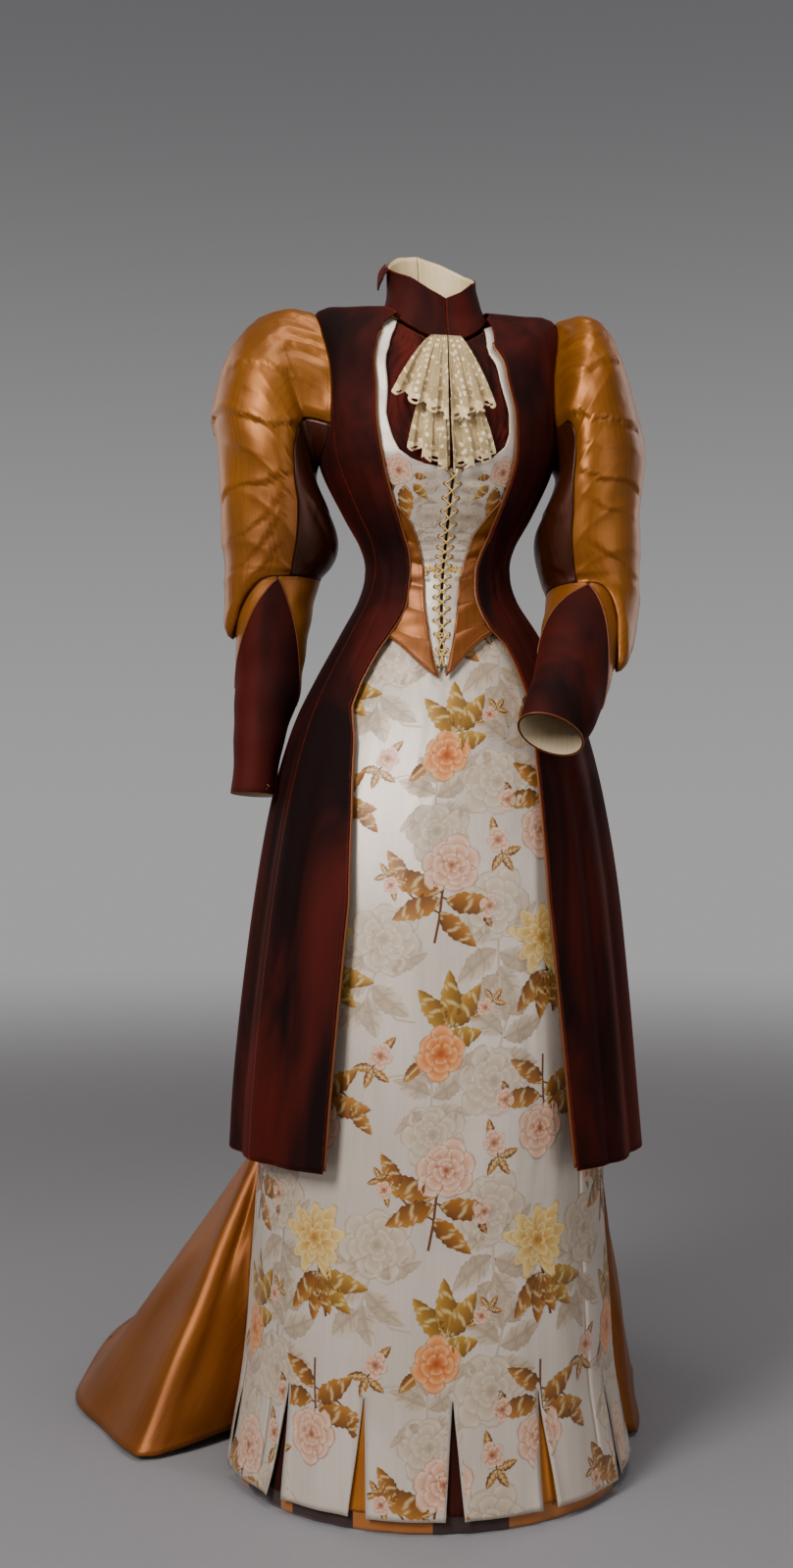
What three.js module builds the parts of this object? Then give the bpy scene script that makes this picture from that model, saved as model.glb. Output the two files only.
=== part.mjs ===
// Edwardian evening gown, worn shape: velvet coat-bodice with open skirts over a laced brocade
// front, satin sleeves with velvet forearms, a brocade skirt slashed into tabs and a satin train.
// Millimetres, +Z up, the gown faces -Y and the wearer's right is -X.
// The origin lies midway between the two shoulder points, where the wearer holds the gown up.
import * as THREE from "three";

const SHOULDER_HEIGHT = 1410; // origin above the floor
const VELVET = 1.8; // wall of the coat, velvet on its lining
const SATIN = 1.5; // wall of sleeves, girdle and train
const BROCADE = 1.5; // wall of bodice front and skirt
const LACE = 1.1;
const CORD = 1.0; // radius of the lacing cord
const SEAM = 0.35; // gap left where two pieces are sewn together
const SLASH_TOP = 142; // height above the floor where the hem slashes end
const SLASH_WIDTH = 20; // opening of one slash at the hem
const ARMHOLE = { turn: 90, spread: 28, v: 3.45, drop: 1.45 }; // loop on the coat form
const PIECE_SIDE_SEAM = 62; // degrees from the front centre, coat front to coat side
const PIECE_BACK_SEAM = 118; // coat side to coat back
const SKIRT_SEAM = 98; // brocade to train
const SKIRT_FRONT_SEAM = 55; // skirt front to skirt side

// Depths below the coat's outside, measured along the surface normal.
const FACING_DEPTH = 2.9;
const GIRDLE_DEPTH = 4.6;
const BODICE_DEPTH = 7.4;
const PLASTRON_DEPTH = 11.4;

const table = (columns, rows) =>
  rows.map((row) => Object.fromEntries(columns.map((name, i) => [name, row[i]])));

// The coat's outside. Each row is one level: its height at front, side and back, its centre,
// half width, front and back depth, and how far the level is turned to the wearer's left.
const COAT_FORM = table(
  ["level", "frontZ", "sideZ", "backZ", "x", "y", "wide", "front", "back", "turn"],
  [
    ["neck", 1385, 1402, 1412, -11, 8, 60, 56, 58, 16],
    ["yoke", 1350, 1400, 1393, -9, 10, 105, 84, 82, 13],
    ["shoulder", 1310, 1392, 1360, -7, 12, 148, 102, 98, 10],
    ["armhole", 1270, 1330, 1310, -6, 12, 151, 116, 104, 9],
    ["bust", 1230, 1255, 1245, -6, 8, 150, 125, 102, 8],
    ["underarm", 1195, 1205, 1200, -5, 6, 142, 122, 98, 7],
    ["rib", 1150, 1150, 1150, -4, 6, 116, 108, 92, 6],
    ["waist_top", 1110, 1110, 1110, -4, 8, 94, 92, 86, 5],
    ["waist", 1080, 1080, 1080, -4, 8, 88.5, 86, 84, 4],
    ["waist_low", 1046, 1046, 1046, -4, 8, 97, 90, 90, 3],
    ["hip_top", 1005, 1005, 1005, -2, 8, 121, 102, 108, 2],
    ["hip", 950, 950, 950, -1, 8, 151, 122, 132, 1],
    ["hip_low", 890, 890, 890, -2, 8, 176, 146, 152, 1],
    ["thigh", 800, 800, 800, -4, 6, 198, 174, 182, 1],
    ["knee_top", 700, 700, 700, -5, 4, 215, 198, 222, 1],
    ["knee", 580, 580, 580, -7, 2, 229, 216, 292, 1],
    ["shin", 470, 470, 470, -8, 0, 239, 229, 368, 1],
    ["hem", 388, 388, 388, -7, 0, 245, 237, 436, 1],
  ],
);

// The skirt's outside; below "calf" the back of it is the train, which runs out to the floor.
const SKIRT_FORM = table(
  ["level", "frontZ", "sideZ", "backZ", "x", "y", "wide", "front", "back", "turn"],
  [
    ["waist", 1064, 1064, 1064, -4, 8, 79.5, 74.4, 75.3, 3],
    ["waist_low", 1046, 1046, 1046, -4, 8, 84.5, 77, 79.2, 3],
    ["hip_top", 1005, 1005, 1005, -2, 8, 108, 88.6, 96, 2],
    ["hip", 950, 950, 950, -1, 8, 138, 108.6, 119, 1],
    ["hip_low", 890, 890, 890, -2, 8, 163, 134, 139, 1],
    ["thigh", 800, 800, 800, -4, 6, 185, 160, 167, 0],
    ["knee_top", 700, 700, 700, -5, 4, 198, 178, 204, 0],
    ["knee", 580, 580, 580, -8, 2, 204, 191, 272, 0],
    ["shin", 470, 470, 470, -10, 0, 206, 200, 348, 0],
    ["calf", 388, 388, 388, -12, 0, 207, 207, 412, 0],
    ["ankle", 300, 300, 300, -14, 0, 211, 212, 412, 0],
    ["low", 230, 230, 230, -14, 0, 216, 218, 412, 0],
    ["slash", SLASH_TOP, SLASH_TOP, SLASH_TOP, -15, 0, 222, 226, 412, 0],
    ["tab", 80, 80, 80, -15, 0, 231, 233, 412, 0],
    ["hem", 16, 16, 16, -15, 0, 241, 241, 412, 0],
  ],
);
const CALF = 8.2; // level where the train leaves the skirt for the floor
const TRAIN_EDGE_RIGHT = 20; // degrees in which each edge of the train turns out from the skirt
const TRAIN_EDGE_LEFT = 6;
const HEM = 14;

// Where the train lands, by degrees round the back: from the right seam to the left one.
// "sag" is 1 for a straight fall and more where the cloth hangs down first and then trails.
const TRAIN_HEM = table(
  ["turn", "x", "y", "sag"],
  [
    [-98, -253.6, 57.3, 1],
    [-104, -296, -6, 1],
    [-111, -330, -34, 1.02],
    [-119, -370, -4, 1.05],
    [-129, -430, 100, 0.98],
    [-139, -482, 234, 1.0],
    [-149, -474, 470, 1.25],
    [-159, -420, 700, 1.6],
    [-170, -270, 880, 1.8],
    [-181, -60, 950, 1.9],
    [-192, 110, 890, 1.8],
    [-203, 220, 740, 1.6],
    [-216, 268, 560, 1.4],
    [-230, 272, 390, 1.2],
    [-246, 262, 210, 1.05],
    [-256, 246, 80, 1],
    [-262, 223.6, 57.3, 1],
  ],
);

// Degrees of the slashes in the brocade hem, wearer's right to left.
const SLASHES = [-77, -46.5, -20, 6, 33, 64.5, 88];

// Edges drawn on the coat form as degrees against level number.
const COAT_EDGE_RIGHT = table(
  ["v", "turn"],
  [[0.5, -45.5], [1, -44], [1.93, -36.5], [2.83, -36.5], [3.61, -36], [4.77, -34], [5.75, -34],
    [6.82, -32], [7.28, -29.5], [8, -28], [9.31, -26], [9.7, -28], [10.02, -31], [10.48, -36],
    [11.07, -39.5], [11.63, -40.5], [12.19, -35.5], [13.11, -32], [14.09, -30], [15.2, -31],
    [17, -33]],
);
const COAT_EDGE_LEFT = table(
  ["v", "turn"],
  [[0.31, 45], [0.9, 34], [1.43, 26], [2.51, 27.5], [3.47, 32], [4.49, 34], [5.7, 35.5],
    [6.89, 35], [7.4, 31.5], [8.04, 28], [9.08, 25.5], [9.59, 26.5], [9.97, 29], [10.3, 35.5],
    [10.74, 37.5], [11.43, 38.5], [12.52, 36.5], [13.35, 35.5], [14.07, 35], [15.58, 37.5],
    [17, 39]],
);
const YOKE_EDGE_RIGHT = table(
  ["v", "turn"],
  [[0.6, -42], [0.9, -38], [1.74, -31], [2.69, -30], [3.56, -31], [4.21, -28], [4.61, -25],
    [4.9, -19], [5.05, -12], [5.14, 0]],
);
const YOKE_EDGE_LEFT = table(
  ["v", "turn"],
  [[0.4, 38], [0.9, 29], [1.43, 22], [2.47, 24], [3.45, 29], [3.98, 30], [4.43, 28], [4.84, 21],
    [5.02, 11], [5.14, 4]],
);
const STOMACHER_RIGHT = table(
  ["v", "turn"],
  [[5.78, -36], [6.47, -25], [7.05, -21], [8.04, -16.5], [8.54, -15], [9.35, -12], [10.13, -8],
    [10.57, -5.5], [11.05, -2]],
);
const STOMACHER_LEFT = table(
  ["v", "turn"],
  [[5.72, 36.5], [6.25, 29], [6.81, 22], [7.4, 19.5], [7.92, 17], [8.4, 13.5], [9.07, 11],
    [9.94, 6.5], [10.4, 4], [11.05, 0.5]],
);
const LACING_LINE = table(
  ["v", "turn"],
  [[4.9, 2.4], [5.23, 2], [5.9, 1.2], [7.06, 0.8], [8.3, -0.2], [9.59, -1], [11.05, -1]],
);
const GIRDLE_LOW_RIGHT = table(
  ["turn", "v"],
  [[-62, 10.0], [-30, 10.06], [-20, 10.3], [-13, 10.55], [-6, 10.84], [-1, 11.06]],
);
const GIRDLE_LOW_LEFT = table(
  ["turn", "v"],
  [[-1, 11.06], [5, 10.72], [10, 10.45], [18, 10.19], [28, 9.97], [62, 9.95]],
);
const LACING_ROWS = 17;

// Sleeves: each row is one ring from armhole to cuff, given by its outer and inner end in the
// front view, the centre's y, half its depth and how far the ring leans towards the front.
const SLEEVE_RIGHT = table(
  ["outX", "outZ", "inX", "inZ", "y", "deep", "lean"],
  [
    [-150, 1392, -148, 1208, 10, 55, 0],
    [-190, 1399, -152, 1196, 9, 70, 0],
    [-222, 1386, -148, 1180, 8, 80, 0],
    [-249, 1360, -141, 1164, 7, 85, 0],
    [-265, 1324, -134, 1149, 6, 86, 0],
    [-274, 1284, -128, 1133, 5, 84, 0],
    [-270, 1238, -125, 1117, 5, 79, 0],
    [-268, 1188, -127, 1101, 4, 73, 0],
    [-264, 1138, -134, 1087, 3, 66, 0],
    [-257, 1096, -143, 1077, 2, 58, 0],
    [-253, 1068, -147, 1070, 0, 53, 2],
    [-251, 1038, -155, 1040, -2, 49, 4],
    [-250, 1002, -161, 1004, -5, 45, 6],
    [-249.5, 966, -167, 966, -8, 41, 6],
    [-250, 930, -172, 930, -14, 38, 6],
    [-251, 894, -184, 894, -20, 35, 6],
    [-250, 858, -193, 859, -28, 32, 6],
    [-253, 812, -199, 809, -36, 30, 6],
  ],
);
const SLEEVE_LEFT = table(
  ["outX", "outZ", "inX", "inZ", "y", "deep", "lean"],
  [
    [138, 1392, 137, 1208, 10, 55, 0],
    [176, 1391, 141, 1194, 9, 69, 0],
    [203, 1372, 138, 1180, 8, 78, 0],
    [218, 1340, 131, 1164, 7, 83, 0],
    [229, 1302, 124, 1148, 6, 84, 0],
    [241, 1260, 117, 1132, 5, 82, 0],
    [247, 1214, 114, 1116, 5, 78, 0],
    [241, 1168, 115, 1098, 4, 72, 0],
    [239, 1122, 119, 1080, 4, 66, 2],
    [235, 1084, 124, 1064, 4, 60, 8],
    [231, 1044, 128, 1052, -2, 54, 16],
    [221, 1004, 123, 1026, -34, 48, 30],
    [206, 968, 115, 992, -76, 43, 39],
    [191, 930, 106, 954, -113, 38, 41],
    [176, 898, 95, 922, -142, 34, 42],
    [158, 868, 83, 890, -166, 31, 43],
  ],
);
const ELBOW_RIGHT = 10;
const ELBOW_LEFT = 10;
const CUFF_RIGHT = 17;
const CUFF_LEFT = 15;

// Smooth curve through the rows of a table, at any place between them.
function rowAt(rows, keys, place) {
  const last = rows.length - 1;
  const v = Math.min(Math.max(place, 0), last);
  const i = Math.min(Math.floor(v), last - 1);
  const t = v - i;
  const out = {};
  for (const key of keys) {
    const p1 = rows[i][key];
    const p2 = rows[i + 1][key];
    const p0 = i > 0 ? rows[i - 1][key] : 2 * p1 - p2;
    const p3 = i + 2 <= last ? rows[i + 2][key] : 2 * p2 - p1;
    out[key] =
      0.5 *
      (2 * p1 +
        (p2 - p0) * t +
        (2 * p0 - 5 * p1 + 4 * p2 - p3) * t * t +
        (3 * p1 - p0 - 3 * p2 + p3) * t * t * t);
  }
  return out;
}

// Straight interpolation in a table of pairs, held at both ends.
function along(rows, from, to, value) {
  const up = rows[rows.length - 1][from] > rows[0][from] ? rows : [...rows].reverse();
  if (value <= up[0][from]) return up[0][to];
  for (let i = 1; i < up.length; i++) {
    if (value > up[i][from]) continue;
    const t = (value - up[i - 1][from]) / (up[i][from] - up[i - 1][from]);
    return up[i - 1][to] + t * (up[i][to] - up[i - 1][to]);
  }
  return up[up.length - 1][to];
}

const rad = (degrees) => (degrees * Math.PI) / 180;
const FORM_KEYS = ["frontZ", "sideZ", "backZ", "x", "y", "wide", "front", "back", "turn"];

// Point of an oval level: 0 degrees is the front centre, 90 the wearer's left.
function ovalPoint(form, turn, v) {
  const r = rowAt(form, FORM_KEYS, v);
  const s = Math.sin(rad(turn));
  const c = Math.cos(rad(turn));
  const across = r.wide * s;
  const along_ = -(c > 0 ? r.front : r.back) * c;
  const t = rad(r.turn);
  const endZ = c > 0 ? r.frontZ : r.backZ;
  return new THREE.Vector3(
    r.x + across * Math.cos(t) - along_ * Math.sin(t),
    r.y + across * Math.sin(t) + along_ * Math.cos(t),
    r.sideZ + (endZ - r.sideZ) * c * c,
  );
}

const coatPoint = (turn, v) => ovalPoint(COAT_FORM, turn, v);

// Skirt and train in one surface: the back half leaves the oval at the calf for the floor.
function skirtPoint(turn, v) {
  const round = turn > SKIRT_SEAM ? turn - 360 : turn;
  if (round >= -SKIRT_SEAM || v <= CALF) return ovalPoint(SKIRT_FORM, turn, v);
  const fall = Math.min((v - CALF) / (HEM - CALF), 1);
  const from = ovalPoint(SKIRT_FORM, turn, CALF);
  let i = 0;
  while (i < TRAIN_HEM.length - 2 && TRAIN_HEM[i + 1].turn > round) i++;
  const share = (round - TRAIN_HEM[i].turn) / (TRAIN_HEM[i + 1].turn - TRAIN_HEM[i].turn);
  const land = rowAt(TRAIN_HEM, ["x", "y", "sag"], i + Math.min(Math.max(share, 0), 1));
  const edge = Math.min(
    (-SKIRT_SEAM - round) / TRAIN_EDGE_RIGHT,
    (round + 360 - SKIRT_SEAM) / TRAIN_EDGE_LEFT,
    1,
  );
  const floor = 16 - 12 * Math.max(edge, 0);
  const out = new THREE.Vector3(
    from.x + (land.x - from.x) * fall,
    from.y + (land.y - from.y) * fall,
    floor + (from.z - floor) * Math.pow(1 - fall, land.sag),
  );
  return ovalPoint(SKIRT_FORM, turn, v).lerp(out, Math.max(edge, 0));
}

// Ring point of a sleeve: 0 degrees is its outer side, 90 its front. Ring 0 is the armhole.
function sleevePoint(rows, side, turn, v) {
  const s = Math.sin(rad(turn));
  const c = Math.cos(rad(turn));
  const ring = (r) => {
    const lean = rad(r.lean);
    return new THREE.Vector3(
      (r.outX + r.inX) / 2 + ((r.outX - r.inX) / 2) * c,
      r.y - r.deep * Math.cos(lean) * s,
      (r.outZ + r.inZ) / 2 + ((r.outZ - r.inZ) / 2) * c + r.deep * Math.sin(lean) * s,
    );
  };
  const armhole = coatPoint(
    side * (ARMHOLE.turn - (ARMHOLE.spread - 0.5) * s),
    ARMHOLE.v - (ARMHOLE.drop - 0.022) * c,
  );
  const points = rows.map((r, i) => (i === 0 ? armhole : ring(r)));
  const at = rowAt(points, ["x", "y", "z"], v);
  return new THREE.Vector3(at.x, at.y, at.z);
}

// Unit normal of a surface given by two numbers; "out" turns it to the outside.
function normalAt(surface, u, v, du, dv, out) {
  const a = surface(u + du, v).sub(surface(u - du, v));
  const b = surface(u, v + dv).sub(surface(u, v - dv));
  return a.cross(b).normalize().multiplyScalar(out);
}

const coatAt = (depth) => (turn, v) => {
  const d = typeof depth === "function" ? depth(turn, v) : depth;
  const n = normalAt(coatPoint, turn, v, 1, 0.05, -1);
  return coatPoint(turn, v).addScaledVector(n, -d);
};
const skirtAt = (depth) => (turn, v) => {
  const low = Math.min(v, HEM - 0.06);
  const n = normalAt(skirtPoint, turn, low, 1, 0.05, -1);
  return skirtPoint(turn, v).addScaledVector(n, -depth);
};
const sleeveAt = (rows, side) => (depth) => (turn, v) => {
  const place = (a, b) => sleevePoint(rows, side, a, b);
  const top = Math.min(Math.max(v, 0.06), rows.length - 1.06);
  const n = normalAt(place, turn, top, 2, 0.05, side);
  return place(turn, v).addScaledVector(n, -depth);
};

const gown = new THREE.Group();
gown.name = "evening_gown";

// One closed cloth wall. grid(i, j) gives the pair [outer, inner]; cells where open(i, j) is
// true are left out, and every free edge gets a narrow wall. "round" joins the last column to
// the first.
function addCloth(name, colour, roughness, columns, rows, grid, options = {}) {
  const { round = false, open = () => false } = options;
  const positions = [];
  const count = round ? columns : columns + 1;
  const at = [];
  for (let i = 0; i < count; i++) {
    at.push([]);
    for (let j = 0; j <= rows; j++) {
      const [outer, inner] = grid(i, j);
      at[i].push(positions.length / 3);
      positions.push(outer.x, outer.y, outer.z - SHOULDER_HEIGHT);
      positions.push(inner.x, inner.y, inner.z - SHOULDER_HEIGHT);
    }
  }
  const vertex = (i, j, side) => at[i % count][j] + side;
  const index = [];
  const quad = (a, b, c, d) => index.push(a, b, c, a, c, d);
  const kept = (i, j) => {
    if (j < 0 || j >= rows) return false;
    if (!round && (i < 0 || i >= columns)) return false;
    return !open((i + columns) % columns, j);
  };
  for (let i = 0; i < columns; i++) {
    for (let j = 0; j < rows; j++) {
      if (!kept(i, j)) continue;
      const p = (di, dj, side) => vertex(i + di, j + dj, side);
      quad(p(0, 0, 0), p(0, 1, 0), p(1, 1, 0), p(1, 0, 0));
      quad(p(0, 0, 1), p(1, 0, 1), p(1, 1, 1), p(0, 1, 1));
      if (!kept(i - 1, j)) quad(p(0, 0, 1), p(0, 1, 1), p(0, 1, 0), p(0, 0, 0));
      if (!kept(i + 1, j)) quad(p(1, 0, 0), p(1, 1, 0), p(1, 1, 1), p(1, 0, 1));
      if (!kept(i, j - 1)) quad(p(0, 0, 0), p(1, 0, 0), p(1, 0, 1), p(0, 0, 1));
      if (!kept(i, j + 1)) quad(p(0, 1, 1), p(1, 1, 1), p(1, 1, 0), p(0, 1, 0));
    }
  }
  let volume = 0;
  for (let k = 0; k < index.length; k += 3) {
    const [a, b, c] = [0, 1, 2].map((n) =>
      new THREE.Vector3().fromArray(positions, index[k + n] * 3),
    );
    volume += a.dot(b.cross(c));
  }
  if (volume < 0) {
    for (let k = 0; k < index.length; k += 3) {
      [index[k + 1], index[k + 2]] = [index[k + 2], index[k + 1]];
    }
  }
  const geometry = new THREE.BufferGeometry();
  geometry.setAttribute("position", new THREE.Float32BufferAttribute(positions, 3));
  geometry.setIndex(index);
  geometry.computeVertexNormals();
  const material = new THREE.MeshStandardMaterial({
    color: colour,
    roughness,
    metalness: 0,
    flatShading: true,
  });
  const mesh = new THREE.Mesh(geometry, material);
  mesh.name = name;
  gown.add(mesh);
  return mesh;
}

// A wall between two offsets of one surface; place(i, j) gives the surface's two numbers.
function addPanel(name, colour, roughness, surface, depth, wall, columns, rows, place, options) {
  const outer = surface(depth);
  const inner = surface(depth + wall);
  const grid = (i, j) => {
    const [u, v] = place(i, j);
    return [outer(u, v), inner(u, v)];
  };
  return addCloth(name, colour, roughness, columns, rows, grid, options);
}

const mix = (a, b, t) => a + (b - a) * t;
const COAT_RED = 0x4a1208;
const COPPER = 0xa8641f;
const IVORY = 0xcdc1b4;

// Level where the collar is sewn on, by degrees from the front centre.
const collarLevel = (turn) => {
  const t = Math.min(Math.abs(turn), 90);
  return 0.02 + 0.93 * Math.pow(1 - t / 90, 1.35);
};
const gapDegrees = (mm, v) => (mm / rowAt(COAT_FORM, ["wide"], v).wide) * 57.3;

// ---- Coat: six velvet panels, fronts cut away, sides under the armholes, backs to the hem ----
const COAT_LEVELS = [2.0, 2.11, 2.425, 2.895, 3.45, 4.005, 4.475, 4.9, 5.5, 6, 7, 8, 9, 10, 11, 12,
  13, 14.2, 15.6, 17];
const armholeTurn = (v) => {
  const c = Math.min(Math.abs(ARMHOLE.v - v) / ARMHOLE.drop, 1);
  return ARMHOLE.turn - ARMHOLE.spread * Math.sqrt(1 - c * c);
};

for (const [side, word, edge] of [
  [-1, "right", COAT_EDGE_RIGHT],
  [1, "left", COAT_EDGE_LEFT],
]) {
  const levels = [null, 0.6, 1.3, ...COAT_LEVELS];
  const outerTurn = (v) => {
    if (v < 2) return 90 - gapDegrees(SEAM / 2, Math.max(v, 0.1));
    if (v < ARMHOLE.v) return Math.min(armholeTurn(v), 90 - gapDegrees(SEAM / 2, v));
    return PIECE_SIDE_SEAM - gapDegrees(SEAM / 2, v);
  };
  const frontPlace = (i, j) => {
    const share = i / 4;
    let v = levels[j];
    if (v === null) {
      const turn = mix(46, 90, share);
      v = Math.max(collarLevel(turn) + 0.06, 0.12);
    }
    const inner = side * along(edge, "v", "turn", v);
    return [side * mix(inner, outerTurn(v), share), v];
  };
  addPanel(
    "coat_front_" + word, COAT_RED, 0.9, coatAt, 0, VELVET,
    4, levels.length - 1, frontPlace,
  );

  // Facing: the turned-back edge of satin that shows as a line along the opening.
  const facingLevels = [1.3, ...COAT_LEVELS.slice(0, -1), 16.96];
  const facingPlace = (i, j) => {
    const v = facingLevels[j];
    const inner = side * along(edge, "v", "turn", v);
    return [side * (inner - gapDegrees(2.5, v) + i * gapDegrees(16, v)), v];
  };
  addPanel(
    "coat_facing_" + word, 0x6b3010, 0.6, coatAt, FACING_DEPTH, 1.0,
    1, facingLevels.length - 1, facingPlace,
  );

  // Side panel: its top edge is the lower half of the armhole.
  const half = [90, 112.5, 135, 157.5, 180, 202.5, 225, 247.5, 270];
  const sideLevels = [3.45, 4.005, 4.475, 4.9, ...COAT_LEVELS.filter((v) => v >= 5.5)];
  const sidePlace = (i, j) => {
    const a = rad(half[i]);
    const turn = ARMHOLE.turn - ARMHOLE.spread * Math.sin(a);
    const topV = ARMHOLE.v - ARMHOLE.drop * Math.cos(a);
    const seam = i === 0 || i === 8;
    const v = seam || j >= 4 ? sideLevels[j] : mix(topV, 5.5, j / 4);
    const pull = gapDegrees(SEAM / 2, v) * (i === 0 ? 1 : i === 8 ? -1 : 0);
    return [side * (turn + pull), v];
  };
  addPanel(
    "coat_side_" + word, COAT_RED, 0.9, coatAt, 0, VELVET,
    8, sideLevels.length - 1, sidePlace,
  );

  // Back panel from shoulder seam and armhole to the centre back seam.
  const backLevels = [null, 0.6, 1.3, ...COAT_LEVELS];
  const backPlace = (i, j) => {
    const share = i / 4;
    const v = backLevels[j] ?? 0.12;
    let from = 90 + gapDegrees(SEAM / 2, v);
    if (v >= 2) from = 180 - Math.min(armholeTurn(v), 90 - gapDegrees(SEAM / 2, v));
    if (v >= ARMHOLE.v) from = PIECE_BACK_SEAM + gapDegrees(SEAM / 2, v);
    const to = 180 - gapDegrees(SEAM / 2, v);
    return [side * mix(from, to, share), v];
  };
  addPanel(
    "coat_back_" + word, COAT_RED, 0.9, coatAt, 0, VELVET,
    4, backLevels.length - 1, backPlace,
  );
}

// ---- Bodice front: two brocade halves from the lacing to the coat's side seams ----
const bodiceDepth = (extra) => (turn) => {
  const t = Math.abs(turn);
  const near = Math.min(Math.max((t - 62) / 26, 0), 1);
  return mix(BODICE_DEPTH, VELVET + 0.7, near) + extra;
};
const bodiceAt = (depth) => coatAt(bodiceDepth(depth));
const BODICE_LEVELS = [0.62, 1.3, 2.11, 2.895, 3.45, 4.005, 4.475, 4.75, 4.93, 5.06, 5.16, 5.56, 6, 7,
  8, 9, 9.67, 10.33, 11];
for (const [side, word, yoke, low] of [
  [-1, "right", YOKE_EDGE_RIGHT, GIRDLE_LOW_RIGHT],
  [1, "left", YOKE_EDGE_LEFT, GIRDLE_LOW_LEFT],
]) {
  const place = (i, j) => {
    const share = i / 6;
    const level = BODICE_LEVELS[j];
    const inner = (v) => {
      if (v < 5.15) return along(yoke, "v", "turn", v);
      return along(LACING_LINE, "v", "turn", v) + side * gapDegrees(1.9, v);
    };
    const outer = side * 88;
    const end = along(low, "turn", "v", mix(outer, inner(11), share)) - 0.12;
    const v = level <= 9 ? level : mix(9, end, (level - 9) / 2);
    return [mix(outer, inner(v), share), v];
  };
  addPanel(
    "bodice_front_" + word, IVORY, 0.5, bodiceAt, 0, BROCADE,
    6, BODICE_LEVELS.length - 1, place,
  );
}

// ---- Girdle: pleated satin over the lower bodice, down to its pointed edge ----
for (const [side, word, stomacher, low] of [
  [-1, "right", STOMACHER_RIGHT, GIRDLE_LOW_RIGHT],
  [1, "left", STOMACHER_LEFT, GIRDLE_LOW_LEFT],
]) {
  const levels = [5.85, 6, 7, 8, 9, 9.67, 10.33, 11];
  const place = (i, j) => {
    const share = i / 4;
    const outer = side * 60;
    const target = mix(outer, along(stomacher, "v", "turn", 11), share);
    const end = along(low, "turn", "v", target);
    const v = levels[j] <= 9 ? levels[j] : mix(9, end, (levels[j] - 9) / 2);
    return [mix(outer, along(stomacher, "v", "turn", v), share), v];
  };
  addPanel(
    "girdle_" + word, COPPER, 0.45, coatAt, GIRDLE_DEPTH, SATIN,
    4, levels.length - 1, place,
  );
}

// ---- Plastron of gathered velvet under the neckline, and the placket behind the lacing ----
const PLASTRON_LEVELS = [null, 1.5, 2.11, 2.895, 3.45, 4.005, 4.475, 5, 5.5];
addPanel(
  "plastron", 0x5c1a0c, 0.85, coatAt, PLASTRON_DEPTH, VELVET,
  6, PLASTRON_LEVELS.length - 1,
  (i, j) => {
    const level = PLASTRON_LEVELS[j] ?? 0.9;
    const hide = 6;
    const from = Math.min(along(YOKE_EDGE_RIGHT, "v", "turn", Math.min(level, 4.2)) - hide, -30);
    const to = Math.max(along(YOKE_EDGE_LEFT, "v", "turn", Math.min(level, 4.2)) + hide, 28);
    const turn = mix(from, to, i / 6);
    return [turn, PLASTRON_LEVELS[j] ?? collarLevel(turn) + 0.1];
  },
);
addPanel(
  "lacing_placket", 0x2c1206, 0.8, coatAt, PLASTRON_DEPTH - 1.2, 1.2,
  2, 6,
  (i, j) => {
    const v = [5.56, 6, 7, 8, 9, 9.67, 10.3][j];
    return [along(LACING_LINE, "v", "turn", v) + (i - 1) * gapDegrees(9, v), v];
  },
);

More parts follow.
